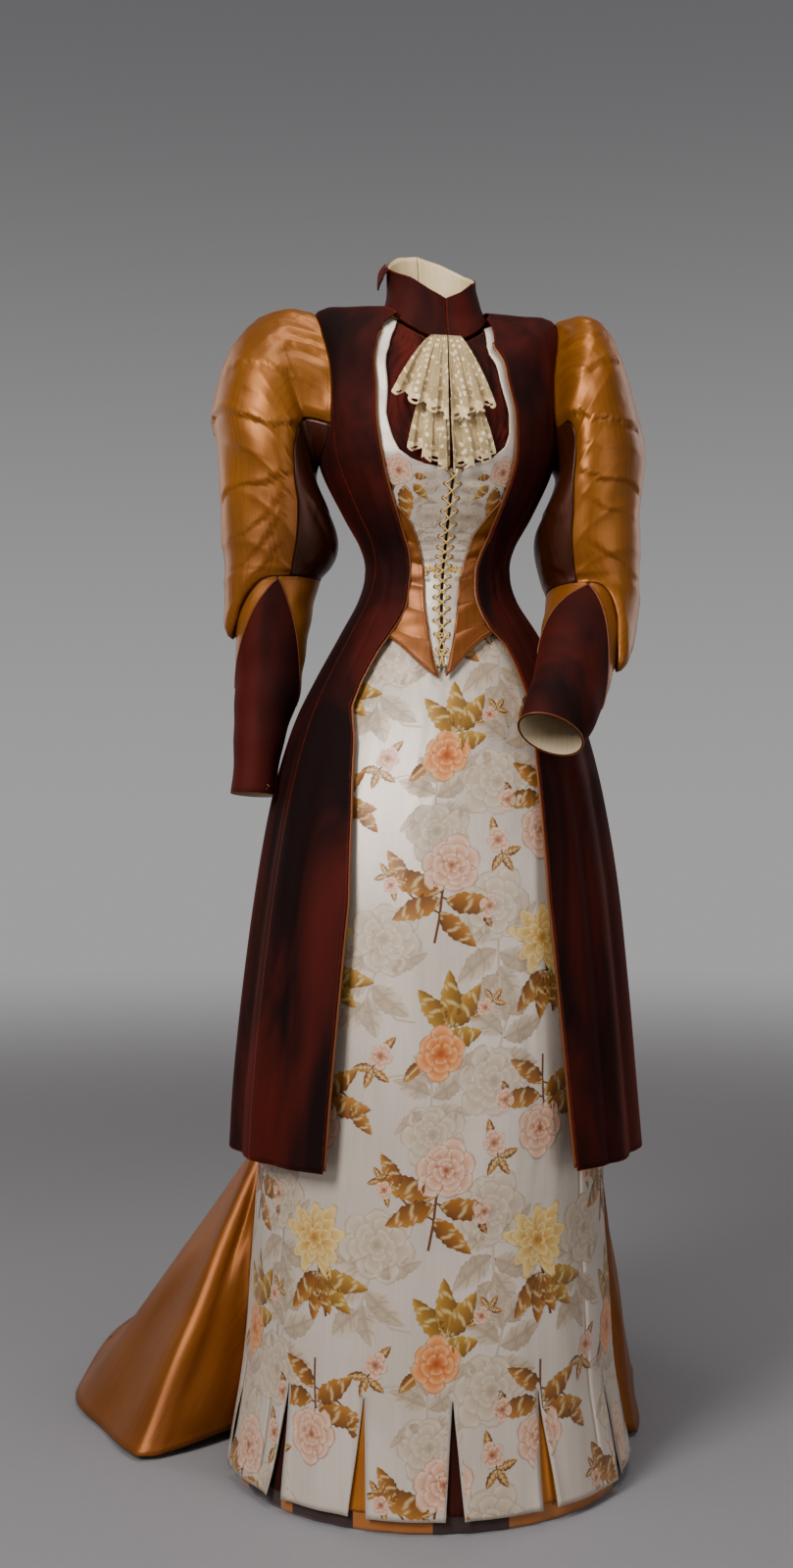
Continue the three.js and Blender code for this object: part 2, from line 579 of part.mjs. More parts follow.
// ---- Lacing: one cord in two halves that cross between the rows of eyelets ----
function lacingLevel(row) {
  return mix(5.18, 10.78, row / (LACING_ROWS - 1));
}
for (const [first, word] of [
  [-1, "right"],
  [1, "left"],
]) {
  const path = [];
  for (let row = 0; row < LACING_ROWS; row++) {
    const v = lacingLevel(row);
    const side = row % 2 ? -first : first;
    const reach = Math.min(9, 3.5 + (LACING_ROWS - 1 - row) * 2.4);
    const turn = along(LACING_LINE, "v", "turn", v) + side * gapDegrees(reach, v);
    path.push([turn, v, BODICE_DEPTH - CORD - 1.7]);
    if (row === LACING_ROWS - 1) continue;
    const over = first > 0 ? 2.7 : 0;
    const next = lacingLevel(row + 0.5);
    const rise = BODICE_DEPTH - CORD - 1.7 - over;
    path.push([along(LACING_LINE, "v", "turn", next), next, rise]);
  }
  const centres = path.map(([turn, v, depth]) => coatAt(depth)(turn, v));
  const normals = path.map(([turn, v]) => normalAt(coatPoint, turn, v, 1, 0.05, -1));
  const sides = 5;
  const ring = centres.map((p, k) => {
    const before = centres[Math.max(k - 1, 0)];
    const after = centres[Math.min(k + 1, centres.length - 1)];
    const run = after.clone().sub(before).normalize();
    const across = new THREE.Vector3().crossVectors(run, normals[k]).normalize();
    const up = new THREE.Vector3().crossVectors(across, run).normalize();
    return Array.from({ length: sides }, (_, n) => {
      const a = (2 * Math.PI * n) / sides;
      return p
        .clone()
        .addScaledVector(across, CORD * Math.cos(a))
        .addScaledVector(up, CORD * Math.sin(a));
    });
  });
  const positions = [];
  ring.forEach((r) => r.forEach((p) => positions.push(p.x, p.y, p.z - SHOULDER_HEIGHT)));
  const index = [];
  for (let k = 0; k < ring.length - 1; k++) {
    for (let n = 0; n < sides; n++) {
      const a = k * sides + n;
      const b = k * sides + ((n + 1) % sides);
      index.push(a, b, b + sides, a, b + sides, a + sides);
    }
  }
  const lastRing = (ring.length - 1) * sides;
  for (let n = 1; n < sides - 1; n++) {
    index.push(0, n + 1, n, lastRing, lastRing + n, lastRing + n + 1);
  }
  let volume = 0;
  for (let k = 0; k < index.length; k += 3) {
    const [a, b, c] = [0, 1, 2].map((n) =>
      new THREE.Vector3().fromArray(positions, index[k + n] * 3),
    );
    volume += a.dot(b.cross(c));
  }
  if (volume < 0) {
    for (let k = 0; k < index.length; k += 3) {
      [index[k + 1], index[k + 2]] = [index[k + 2], index[k + 1]];
    }
  }
  const geometry = new THREE.BufferGeometry();
  geometry.setAttribute("position", new THREE.Float32BufferAttribute(positions, 3));
  geometry.setIndex(index);
  geometry.computeVertexNormals();
  const cord = new THREE.Mesh(
    geometry,
    new THREE.MeshStandardMaterial({ color: 0xc9a650, roughness: 0.5, metalness: 0 }),
  );
  cord.name = "lacing_cord_" + word;
  gown.add(cord);
}

// ---- Stand collar: two velvet halves, a cream lining, one back corner turned down ----
const COLLAR_RIM = table(
  ["turn", "z"],
  [[-180, 1481], [-150, 1476], [-110, 1456], [-70, 1440], [-45, 1431], [-20, 1415], [0, 1405],
    [20, 1414], [45, 1429], [70, 1437], [110, 1452], [150, 1472], [180, 1481]],
);
const collarPoint = (depth) => (turn, share) => {
  const foot = coatAt(PLASTRON_DEPTH - 3)(turn, collarLevel(turn));
  const s = Math.sin(rad(turn));
  const c = Math.cos(rad(turn));
  const t = rad(19);
  const across = 55 * s;
  const deep = -52 * c;
  const rim = new THREE.Vector3(
    -12 + across * Math.cos(t) - deep * Math.sin(t),
    6 + across * Math.sin(t) + deep * Math.cos(t),
    along(COLLAR_RIM, "turn", "z", turn),
  );
  const p = foot.lerp(rim, share);
  const ease = Math.sin(Math.PI * share) * -2.5;
  const n = new THREE.Vector3(p.x + 12, p.y - 6, 0).normalize();
  return p.addScaledVector(n, ease - depth);
};
for (const [side, word] of [
  [-1, "right"],
  [1, "left"],
]) {
  addPanel(
    "collar_" + word, COAT_RED, 0.9, collarPoint, 0, VELVET,
    9, 3,
    (i, j) => [side * mix(0.25, 179.75, i / 9), j / 3],
  );
}
addPanel(
  "collar_lining", 0xb8a079, 0.7, collarPoint, VELVET + 0.7, 1.0,
  18, 3,
  (i, j) => [mix(-179.75, 179.75, i / 18), mix(0.03, 0.97, j / 3)],
);
// The corner folds outwards over the rim at the wearer's right and hangs as a small point.
addCloth("collar_corner", COAT_RED, 0.9, 3, 3, (i, j) => {
  const turn = mix(-118, -82, i / 3);
  const drop = j / 3;
  const rim = collarPoint(-0.4 - 9 * Math.sin((drop * Math.PI) / 2))(turn, 1);
  const point = 1 - Math.abs(i - 1.4) / 2.4;
  const z = rim.z + 1.5 - 26 * drop * point - 4 * drop;
  const outer = new THREE.Vector3(rim.x, rim.y, z);
  const n = new THREE.Vector3(rim.x + 12, rim.y - 6, 0).normalize();
  return [outer.clone().addScaledVector(n, VELVET), outer];
});

// ---- Jabot: lace gathered at the throat, two tiers on each side, wider and rippled below ----
// Point on the plastron's front that lies at a given x and z.
function frontAt(x, z, lift) {
  let turn = 0;
  let v = 3;
  const surface = coatAt(PLASTRON_DEPTH - lift);
  for (let k = 0; k < 24; k++) {
    const p = surface(turn, v);
    const a = surface(turn + 1, v);
    const b = surface(turn, v + 0.05);
    const det = (a.x - p.x) * (b.z - p.z) - (b.x - p.x) * (a.z - p.z);
    const stepTurn = ((x - p.x) * (b.z - p.z) - (b.x - p.x) * (z - p.z)) / det;
    const stepV = ((a.x - p.x) * (z - p.z) - (x - p.x) * (a.z - p.z)) / det;
    turn = Math.min(Math.max(turn + stepTurn * 0.8, -60), 60);
    v = Math.min(Math.max(v + stepV * 0.04, 0.6), 8);
  }
  return surface(turn, v);
}
const JABOT = table(
  ["name", "topLeft", "topRight", "topZ", "lowLeft", "lowRight", "lowLeftZ", "lowRightZ", "lift"],
  [
    ["jabot_upper_right", -12, 5, 1356, -60, 4, 1282, 1248, 13],
    ["jabot_upper_left", 9, 22, 1356, 9, 62, 1240, 1268, 13],
    ["jabot_lower_right", -26, 6, 1280, -42, 7, 1216, 1186, 7],
    ["jabot_lower_left", 11, 42, 1276, 11, 62, 1186, 1206, 7],
  ],
);
for (const tier of JABOT) {
  addCloth(tier.name, 0xc8b48c, 0.8, 8, 4, (i, j) => {
    const across = i / 8;
    const down = j / 4;
    const x = mix(
      mix(tier.topLeft, tier.topRight, across),
      mix(tier.lowLeft, tier.lowRight, across),
      Math.pow(down, 0.8),
    );
    const z = mix(tier.topZ, mix(tier.lowLeftZ, tier.lowRightZ, across), down);
    const ripple = (1 + Math.cos(i * Math.PI * 0.75)) * 3.2 * down;
    const start = tier.topZ > 1300 ? 5.8 : LACE + 0.8;
    const lift = mix(start, tier.lift, Math.min(down * 1.6, 1)) + ripple;
    const base = frontAt(x, z, lift);
    const wall = new THREE.Vector3(0, LACE, 0);
    return [base, base.clone().add(wall)];
  });
}

// ---- Sleeves: satin puff, under-sleeve, velvet forearm with two satin points ----
// The forearm's velvet rises to an apex at front and back; the satin runs down between.
const SLEEVES = table(
  ["word", "side", "rows", "elbow", "cuff", "outPoint", "inPoint", "apex", "under"],
  [
    ["right", -1, SLEEVE_RIGHT, ELBOW_RIGHT, CUFF_RIGHT, 13.7, 14.3, 95, [118, 242]],
    ["left", 1, SLEEVE_LEFT, ELBOW_LEFT, CUFF_LEFT, 13.6, 12.4, 95, [118, 242]],
  ],
);
for (const { word, side, rows, elbow, cuff, outPoint, inPoint, apex, under } of SLEEVES) {
  const surface = sleeveAt(rows, side);
  const puffLevels = [0, 0.35, 1, 2, 3, 4, 5, 6, 7.5, 9, elbow - 0.02];
  // The seam between puff and under-sleeve follows the front and the back of the arm.
  const span = [-112, -90, -67.5, -45, -22.5, 0, 22.5, 45, 67.5, 90, 112];
  addPanel(
    "sleeve_puff_" + word, COPPER, 0.4, surface, 0, SATIN,
    span.length - 1, puffLevels.length - 1,
    (i, j) => [span[i], puffLevels[j]],
  );
  const inside = [112.8, 135, 157.5, 180, 202.5, 225, 247.2];
  addPanel(
    "under_sleeve_" + word, 0x6e3413, 0.5, surface, 0, SATIN,
    inside.length - 1, puffLevels.length - 1,
    (i, j) => [inside[i], puffLevels[j]],
  );
  // Boundary of satin and velvet on the forearm, by degrees round the arm.
  const top = elbow + 0.12;
  const edgeAt = (turn) => {
    const a = ((turn % 360) + 360) % 360;
    const fromOut = Math.min(a, 360 - a);
    if (fromOut <= apex) return mix(outPoint, top + 0.05, fromOut / apex);
    return mix(inPoint, top + 0.05, (180 - fromOut) / (180 - apex));
  };
  const gap = 0.035;
  const around = [0, 30, 62, 95, 120, 150, 180, 210, 240, 265, 298, 330];
  addPanel(
    "forearm_velvet_" + word, COAT_RED, 0.9, surface, 0, VELVET,
    around.length, 4,
    (i, j) => {
      const turn = around[i % around.length];
      return [turn, mix(edgeAt(turn) + gap, cuff, j / 4)];
    },
    { round: true },
  );
  const outTurns = [-89, -62, -30, 0, 30, 62, 89];
  addPanel(
    "sleeve_point_outer_" + word, COPPER, 0.4, surface, 0, SATIN,
    6, 3,
    (i, j) => [outTurns[i], mix(elbow + 0.01, edgeAt(outTurns[i]) - gap, j / 3)],
  );
  const inTurns = [101, 120, 150, 180, 210, 240, 259];
  addPanel(
    "sleeve_point_inner_" + word, COPPER, 0.4, surface, 0, SATIN,
    6, 3,
    (i, j) => [inTurns[i], mix(elbow + 0.01, edgeAt(inTurns[i]) - gap, j / 3)],
  );
}

// ---- Skirt: three brocade panels whose lower edge is slashed into tabs ----
const SKIRT_LEVELS = [0, 1, 2, 3, 4.3, 6, 7.5, 9, 10.5, 12, 13, 14];
// A long width is drawn in bands from waist to hem, so that each solid stays a simple shape.
const WHOLE = [["", 0, 14]];
const FRONT_BANDS = [["_upper", 0, 3], ["_middle", 3, 7.5], ["_lower", 7.5, 14]];
const TRAIN_BANDS = [["_upper", 0, 4.3], ["_middle", 4.3, 9], ["_lower", 9, 14]];

// Levels of one band; where it meets the next one it stops half a seam short.
function bandLevels(turn, top, bottom) {
  return SKIRT_LEVELS.filter((v) => v >= top && v <= bottom).map((v) => {
    const reach = skirtPoint(turn, v + 0.4).distanceTo(skirtPoint(turn, v - 0.4)) / 0.8;
    const short = SEAM / 2 / reach;
    if (v === top && top > 0) return v + short;
    if (v === bottom && bottom < HEM) return v - short;
    return v;
  });
}

for (const [word, from, to, bands] of [
  ["skirt_side_right", -SKIRT_SEAM, -SKIRT_FRONT_SEAM, WHOLE],
  ["skirt_front", -SKIRT_FRONT_SEAM, SKIRT_FRONT_SEAM, FRONT_BANDS],
  ["skirt_side_left", SKIRT_FRONT_SEAM, SKIRT_SEAM, WHOLE],
]) {
  const inside = SLASHES.filter((t) => t > from + 1 && t < to - 1);
  // Columns: plain ones, with a pair of lines at each slash.
  const stops = [{ turn: from, shift: 0 }];
  const plain = [];
  for (let t = Math.ceil((from + 3) / 12) * 12; t <= to - 3; t += 12) plain.push(t);
  for (const t of plain) {
    if (inside.every((s) => Math.abs(s - t) > 4)) stops.push({ turn: t, shift: 0 });
  }
  for (const s of inside) {
    stops.push({ turn: s, shift: -1 });
    stops.push({ turn: s, shift: 1 });
  }
  stops.push({ turn: to, shift: 0 });
  stops.sort((a, b) => a.turn - b.turn || a.shift - b.shift);
  for (const [band, top, bottom] of bands) {
    const levels = bandLevels((from + to) / 2, top, bottom);
    const place = (i, j) => {
      const v = levels[j];
      const wide = rowAt(SKIRT_FORM, ["wide"], v).wide;
      const open = Math.max((v - 12) / 2, 0) * SLASH_WIDTH + 1.2;
      const half = (stops[i].shift * open * 57.3) / wide / 2;
      let pull = 0;
      if (i === 0) pull = ((SEAM / 2) * 57.3) / wide;
      if (i === stops.length - 1) pull = ((-SEAM / 2) * 57.3) / wide;
      return [stops[i].turn + half + pull, v];
    };
    addPanel(
      word + band, IVORY, 0.5, skirtAt, 0, BROCADE,
      stops.length - 1, levels.length - 1, place,
      { open: (i, j) => stops[i].shift === -1 && levels[j] >= 12 },
    );
  }
}

// ---- Under the hem: a foundation band on the floor and a pleat of satin behind each slash ----
addCloth("foundation_hem", 0x3a1a0c, 0.8, 14, 2, (i, j) => {
  const turn = mix(-95, 95, i / 14);
  const z = mix(96, 0.6, j / 2);
  const v = HEM - (z - 16) / 64;
  const deep = BROCADE + 4.6;
  const outer = skirtAt(deep)(turn, Math.min(v, HEM));
  const inner = skirtAt(deep + 1.5)(turn, Math.min(v, HEM));
  return [outer.setZ(z), inner.setZ(z)];
});
SLASHES.forEach((turn, k) => {
  const satin = k % 2 === 0;
  addCloth("hem_pleat_" + (k + 1), satin ? COPPER : 0x3d160c, 0.5, 4, 3, (i, j) => {
    const v = mix(11.7, HEM - 0.08, j / 3);
    const spread = mix(2, 7.5, j / 3);
    const at = turn + ((i - 2) / 2) * spread;
    return [skirtAt(BROCADE + 2.6)(at, v), skirtAt(BROCADE + 3.8)(at, v)];
  });
});

// ---- Train: three satin widths gathered at the back waist and spread over the floor ----
for (const [word, turns, bands] of [
  // Closer columns where the right edge folds down off the skirt.
  ["train_right", [-98, -101, -104, -107.5, -111, -119, -129, -139, -149], TRAIN_BANDS],
  ["train_centre", [-149, -159, -170, -181, -192, -203, -216], WHOLE],
  ["train_left", [-216, -230, -246, -256, -262], TRAIN_BANDS],
]) {
  for (const [band, top, bottom] of bands) {
    const levels = bandLevels(turns[2], top, bottom);
    addPanel(
      word + band, COPPER, 0.4, skirtAt, 0, SATIN,
      turns.length - 1, levels.length - 1,
      (i, j) => {
        const v = levels[j];
        const reach = skirtPoint(turns[i] + 0.5, v).distanceTo(skirtPoint(turns[i] - 0.5, v));
        const pull = i === 0 ? -1 : i === turns.length - 1 ? 1 : 0;
        return [turns[i] + (pull * SEAM * 0.6) / reach, v];
      },
    );
  }
}

export default gown;
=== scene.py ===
import math

import bpy
import numpy as np
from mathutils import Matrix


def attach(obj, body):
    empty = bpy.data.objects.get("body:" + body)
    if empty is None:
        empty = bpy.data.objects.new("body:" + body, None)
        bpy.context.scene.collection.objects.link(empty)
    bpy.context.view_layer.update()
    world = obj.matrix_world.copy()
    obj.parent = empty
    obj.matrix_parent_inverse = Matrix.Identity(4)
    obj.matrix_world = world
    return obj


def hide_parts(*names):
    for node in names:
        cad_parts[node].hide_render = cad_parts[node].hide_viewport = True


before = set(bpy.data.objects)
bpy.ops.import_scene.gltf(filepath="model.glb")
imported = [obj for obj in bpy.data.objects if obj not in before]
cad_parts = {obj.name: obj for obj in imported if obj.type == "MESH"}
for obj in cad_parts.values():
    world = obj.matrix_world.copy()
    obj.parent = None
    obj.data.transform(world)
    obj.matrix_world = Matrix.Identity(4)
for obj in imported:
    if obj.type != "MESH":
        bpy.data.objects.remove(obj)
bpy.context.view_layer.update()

# ---- The room ----
# A plain pale floor that fades into grey surroundings, five soft studio lamps and a camera that
# looks level at the middle of the gown. None of it belongs to the gown.
FLOOR_Z = -1.410
WALL_LOW, WALL_HIGH = (0.40, 0.390, 0.388, 1.0), (0.13, 0.13, 0.136, 1.0)


def add(tree, kind, inputs=None, **settings):
    """Puts one node in a tree; an input is a value or another node's socket."""
    made = tree.nodes.new("ShaderNode" + kind)
    for name, value in settings.items():
        setattr(made, name, value)
    for key, value in (inputs or {}).items():
        if isinstance(value, bpy.types.NodeSocket):
            tree.links.new(value, made.inputs[key])
        else:
            made.inputs[key].default_value = value
    return made


def calc(tree, operation, a, b=0.0, c=0.0, clamp=False):
    return add(tree, "Math", {0: a, 1: b, 2: c}, operation=operation, use_clamp=clamp).outputs[0]


def blend(tree, factor, a, b, mode="MIX"):
    made = add(tree, "Mix", {0: factor, 6: a, 7: b}, data_type="RGBA", blend_type=mode)
    return made.outputs[2]


def new_material(name):
    material = bpy.data.materials.new(name)
    material.use_nodes = True
    tree = material.node_tree
    tree.nodes.clear()
    return material, tree


def finish_material(tree, shader):
    output = tree.nodes.new("ShaderNodeOutputMaterial")
    tree.links.new(shader.outputs[0], output.inputs["Surface"])


def floor_piece():
    reach = 9.0
    mesh = bpy.data.meshes.new("floor")
    corners = [(x * reach, y * reach, FLOOR_Z) for x, y in ((-1, -1), (1, -1), (1, 1), (-1, 1))]
    mesh.from_pydata(corners, [], [(0, 1, 2, 3)])
    piece = bpy.data.objects.new("floor", mesh)
    bpy.context.collection.objects.link(piece)
    material, tree = new_material("studio_floor")
    place = add(tree, "TexCoord").outputs["Object"]
    flat = add(tree, "VectorMath", {0: place, 1: (1.0, 1.0, 0.0)}, operation="MULTIPLY")
    far = add(tree, "VectorMath", {0: flat.outputs[0]}, operation="LENGTH").outputs["Value"]
    fade = add(tree, "MapRange", {0: far, 1: 1.6, 2: 6.5, 3: 1.0, 4: 0.0},
               interpolation_type="SMOOTHSTEP").outputs[0]
    grain = add(tree, "TexNoise", {"Vector": place, "Scale": 260.0, "Detail": 3.0})
    tone = blend(tree, grain.outputs[0], (0.19, 0.178, 0.184, 1), (0.22, 0.206, 0.213, 1))
    shader = add(tree, "BsdfPrincipled", {"Base Color": tone, "Roughness": 0.75, "Alpha": fade})
    finish_material(tree, shader)
    mesh.materials.append(material)


floor_piece()
world = bpy.data.worlds.new("studio")
world.use_nodes = True
way = add(world.node_tree, "SeparateXYZ", {0: add(world.node_tree, "TexCoord").outputs["Generated"]})
rise = add(world.node_tree, "MapRange", {0: way.outputs[2], 1: -0.05, 2: 0.42},
           interpolation_type="SMOOTHSTEP").outputs[0]
world.node_tree.links.new(blend(world.node_tree, rise, WALL_LOW, WALL_HIGH),
                          world.node_tree.nodes["Background"].inputs["Color"])
bpy.context.scene.world = world

LAMPS = [  # name, place, aim, width, height, power
    ("key", (-1.7, -2.5, 1.05), (0.0, 0.0, -0.5), 1.0, 1.5, 135),
    ("fill", (2.2, -2.6, -0.1), (0.0, 0.0, -0.7), 1.2, 2.0, 26),
    ("top", (0.1, -0.7, 2.1), (0.0, 0.0, -0.6), 1.4, 1.2, 46),
    ("rim_left", (-2.0, 1.9, 0.5), (0.0, 0.0, -0.5), 0.5, 2.0, 12),
    ("rim_right", (2.0, 1.9, 0.5), (0.0, 0.0, -0.5), 0.5, 2.0, 12),
]
for name, place, aim, width, height, power in LAMPS:
    light = bpy.data.lights.new(name, "AREA")
    light.shape = "RECTANGLE"
    light.size, light.size_y, light.energy = width, height, power
    lamp = bpy.data.objects.new(name, light)
    bpy.context.collection.objects.link(lamp)
    lamp.location = place
    away = np.array(place) - np.array(aim)
    turn_z = math.atan2(away[0], -away[1])
    tilt = math.atan2(math.hypot(away[0], away[1]), away[2])
    lamp.rotation_euler = (tilt, 0.0, turn_z)

lens = bpy.data.cameras.new("camera")
lens.sensor_fit = "VERTICAL"
lens.sensor_height = 36.0
lens.lens = 43.27
camera = bpy.data.objects.new("camera", lens)
bpy.context.collection.objects.link(camera)
camera.location = (-0.054, -2.300, -0.587)
camera.rotation_euler = (math.radians(90), 0.0, 0.0)
bpy.context.scene.camera = camera

# ---- The coat: six velvet panels and a satin facing ----
# Silk velvet cut in fronts, sides and backs over a silk lining. The fronts are cut away from
# the throat to the hem, and a narrow bronze satin facing shows along their edges.
SHOULDER = 1410.0  # the origin's height above the floor, in millimetres
SEAM = 0.06  # millimetres between two pieces where they are sewn
VELVET = 1.8
ARMHOLE_TURN, ARMHOLE_SPREAD, ARMHOLE_LEVEL, ARMHOLE_DROP = 90.0, 28.0, 3.45, 1.45
SIDE_SEAM, BACK_SEAM = 62.0, 118.0
FACING_DEPTH = 2.9
# One row a level: height at front, side and back, centre x and y, half width, front and back
# depth, and the level's turn.
COAT_FORM = np.array([
    [1385, 1402, 1412, -11, 8, 60, 56, 58, 16], [1350, 1400, 1393, -9, 10, 105, 84, 82, 13],
    [1310, 1392, 1360, -7, 12, 148, 102, 98, 10], [1270, 1330, 1310, -6, 12, 151, 116, 104, 9],
    [1230, 1255, 1245, -6, 8, 150, 125, 102, 8], [1195, 1205, 1200, -5, 6, 142, 122, 98, 7],
    [1150, 1150, 1150, -4, 6, 116, 108, 92, 6], [1110, 1110, 1110, -4, 8, 94, 92, 86, 5],
    [1080, 1080, 1080, -4, 8, 88.5, 86, 84, 4], [1046, 1046, 1046, -4, 8, 97, 90, 90, 3],
    [1005, 1005, 1005, -2, 8, 121, 102, 108, 2], [950, 950, 950, -1, 8, 151, 122, 132, 1],
    [890, 890, 890, -2, 8, 176, 146, 152, 1], [800, 800, 800, -4, 6, 198, 174, 182, 1],
    [700, 700, 700, -5, 4, 215, 198, 222, 1], [580, 580, 580, -7, 2, 229, 216, 292, 1],
    [470, 470, 470, -8, 0, 239, 229, 368, 1], [388, 388, 388, -7, 0, 245, 237, 436, 1],
])
# Edges drawn on the form: level and degrees from the front centre.
COAT_EDGE = {
    -1: np.array([
        [0.5, -45.5], [1, -44], [1.93, -36.5], [2.83, -36.5], [3.61, -36], [4.77, -34],
        [5.75, -34], [6.82, -32], [7.28, -29.5], [8, -28], [9.31, -26], [9.7, -28], [10.02, -31],
        [10.48, -36], [11.07, -39.5], [11.63, -40.5], [12.19, -35.5], [13.11, -32], [14.09, -30],
        [15.2, -31], [17, -33]]),
    1: np.array([
        [0.31, 45], [0.9, 34], [1.43, 26], [2.51, 27.5], [3.47, 32], [4.49, 34], [5.7, 35.5],
        [6.89, 35], [7.4, 31.5], [8.04, 28], [9.08, 25.5], [9.59, 26.5], [9.97, 29], [10.3, 35.5],
        [10.74, 37.5], [11.43, 38.5], [12.52, 36.5], [13.35, 35.5], [14.07, 35], [15.58, 37.5],
        [17, 39]]),
}


def mix(a, b, share):
    return a + (b - a) * share


def smooth_rows(rows, place):
    """Smooth curve through the rows of a table, at any place between them."""
    last = len(rows) - 1
    v = np.clip(np.asarray(place, float), 0, last)
    i = np.minimum(np.floor(v).astype(int), last - 1)
    t = (v - i)[..., None]
    p1, p2 = rows[i], rows[i + 1]
    p0 = np.where((i > 0)[..., None], rows[np.maximum(i - 1, 0)], 2 * p1 - p2)
    p3 = np.where((i + 2 <= last)[..., None], rows[np.minimum(i + 2, last)], 2 * p2 - p1)
    return 0.5 * (2 * p1 + (p2 - p0) * t + (2 * p0 - 5 * p1 + 4 * p2 - p3) * t * t
                  + (3 * p1 - p0 - 3 * p2 + p3) * t ** 3)


def along(pairs, value):
    """Straight interpolation in a table of pairs, held at both ends."""
    order = np.argsort(pairs[:, 0])
    return np.interp(value, pairs[order, 0], pairs[order, 1])


def oval(form, turn, v):
    """Point of an oval level in millimetres; 0 degrees is the front centre, 90 the left."""
    turn, v = np.broadcast_arrays(np.asarray(turn, float), np.asarray(v, float))
    r = smooth_rows(form, v)
    s, c = np.sin(np.radians(turn)), np.cos(np.radians(turn))
    across = r[..., 5] * s
    deep = -np.where(c > 0, r[..., 6], r[..., 7]) * c
    t = np.radians(r[..., 8])
    end = np.where(c > 0, r[..., 0], r[..., 2])
    return np.stack([
        r[..., 3] + across * np.cos(t) - deep * np.sin(t),
        r[..., 4] + across * np.sin(t) + deep * np.cos(t),
        r[..., 1] + (end - r[..., 1]) * c * c - SHOULDER,
    ], -1)


def unit(vectors):
    return vectors / np.maximum(np.linalg.norm(vectors, axis=-1, keepdims=True), 1e-12)


def outward(surface, turn, v, sign, step=1.0, rise=0.05):
    """Unit normal of a surface(turn, v), turned to its outside by sign."""
    a = surface(turn + step, v) - surface(turn - step, v)
    b = surface(turn, v + rise) - surface(turn, v - rise)
    return unit(np.cross(a, b)) * sign


def coat_form(turn, v):
    return oval(COAT_FORM, turn, v)


def coat_at(turn, v, depth):
    """Point of the coat's form at a depth below it, and the normal there."""
    turn, v = np.broadcast_arrays(np.asarray(turn, float), np.asarray(v, float))
    normal = outward(coat_form, turn, v, -1)
    return coat_form(turn, v) - normal * np.asarray(depth)[..., None], normal


def degrees_of(mm, v):
    return mm / smooth_rows(COAT_FORM, v)[..., 5] * 57.3


def beside(points, normal, path):
    """How far each point lies from a path, more than 0 on its right, and its share of the way."""
    nearest = np.full(points.shape[:-1], 1e9)
    place = np.zeros(points.shape[:-1])
    hand = np.ones(points.shape[:-1])
    run = 0.0
    for a, b in zip(path[:-1], path[1:]):
        ab = b - a
        length = float(np.linalg.norm(ab))
        t = np.clip(((points - a) @ ab) / (length * length), 0, 1)
        gap = points - (a + t[..., None] * ab)
        d = np.linalg.norm(gap, axis=-1)
        side = np.sign(np.einsum("...k,...k->...", np.cross(ab, normal), gap))
        closer = d < nearest
        nearest = np.where(closer, d, nearest)
        place = np.where(closer, run + t * length, place)
        hand = np.where(closer, side, hand)
        run += length
    return nearest * hand, place / run


def fading(share, fade):
    taper = np.clip(share / fade[0], 0, 1) if fade[0] else 1.0
    taper = taper * (np.clip((1 - share) / fade[1], 0, 1) if fade[1] else 1.0)
    return taper * taper * (3 - 2 * taper)


def crease(points, normal, path, wide, high, fade=(0.2, 0.2)):
    """Raises a soft ridge along a path, or a trough where high is below 0."""
    off, share = beside(points, normal, path)
    profile = np.exp(-(off / wide) ** 2)
    return points + normal * (high * fading(share, fade) * profile)[..., None]


def tuck(points, normal, path, wide, high, deep, fade=(0.25, 0.15)):
    """A sharp fold along a path: the cloth on its left swells into a lip that hangs over the
    line, and on its right it falls away in a hollow that rises again slowly."""
    off, share = beside(points, normal, path)
    above, below = np.maximum(-off, 0) / wide, np.maximum(off, 0) / wide
    lip = high * above * np.exp(1 - above)
    hollow = -deep * np.where(off < 0, np.exp(-above * 3.2), np.exp(-below * 0.9))
    return points + normal * ((lip + hollow) * fading(share, fade))[..., None]


def even_levels(surface, turn, low, high, step, stops=()):
    """Level numbers from low to high, about one step of millimetres apart down the form."""
    fine = np.linspace(low, high, 1200)
    way = surface(np.full_like(fine, turn), fine)
    run = np.concatenate([[0], np.cumsum(np.linalg.norm(np.diff(way, axis=0), axis=1))])
    count = max(int(round(run[-1] / step)), 2)
    levels = np.interp(np.linspace(0, run[-1], count + 1), run, fine)
    for stop in stops:
        levels[np.argmin(np.abs(levels[1:-1] - stop)) + 1] = stop
    return np.sort(levels)


def grid_normals(face, guide, ring):
    wide = np.concatenate([face[-2:-1], face, face[1:2]]) if ring else face
    du, dv = np.gradient(wide, axis=0), np.gradient(wide, axis=1)
    normal = unit(np.cross(du, dv))
    normal = normal[1:-1] if ring else normal
    facing = np.sign(np.einsum("...k,...k->...", normal, guide).mean())
    return normal * (facing if facing else 1.0)


def run_along(face, axis):
    """Distance run along one direction of a grid, from its first line."""
    steps = np.linalg.norm(np.diff(face, axis=axis), axis=-1)
    pad = [(0, 0), (0, 0)]
    pad[axis] = (1, 0)
    return np.cumsum(np.pad(steps, pad), axis=axis)


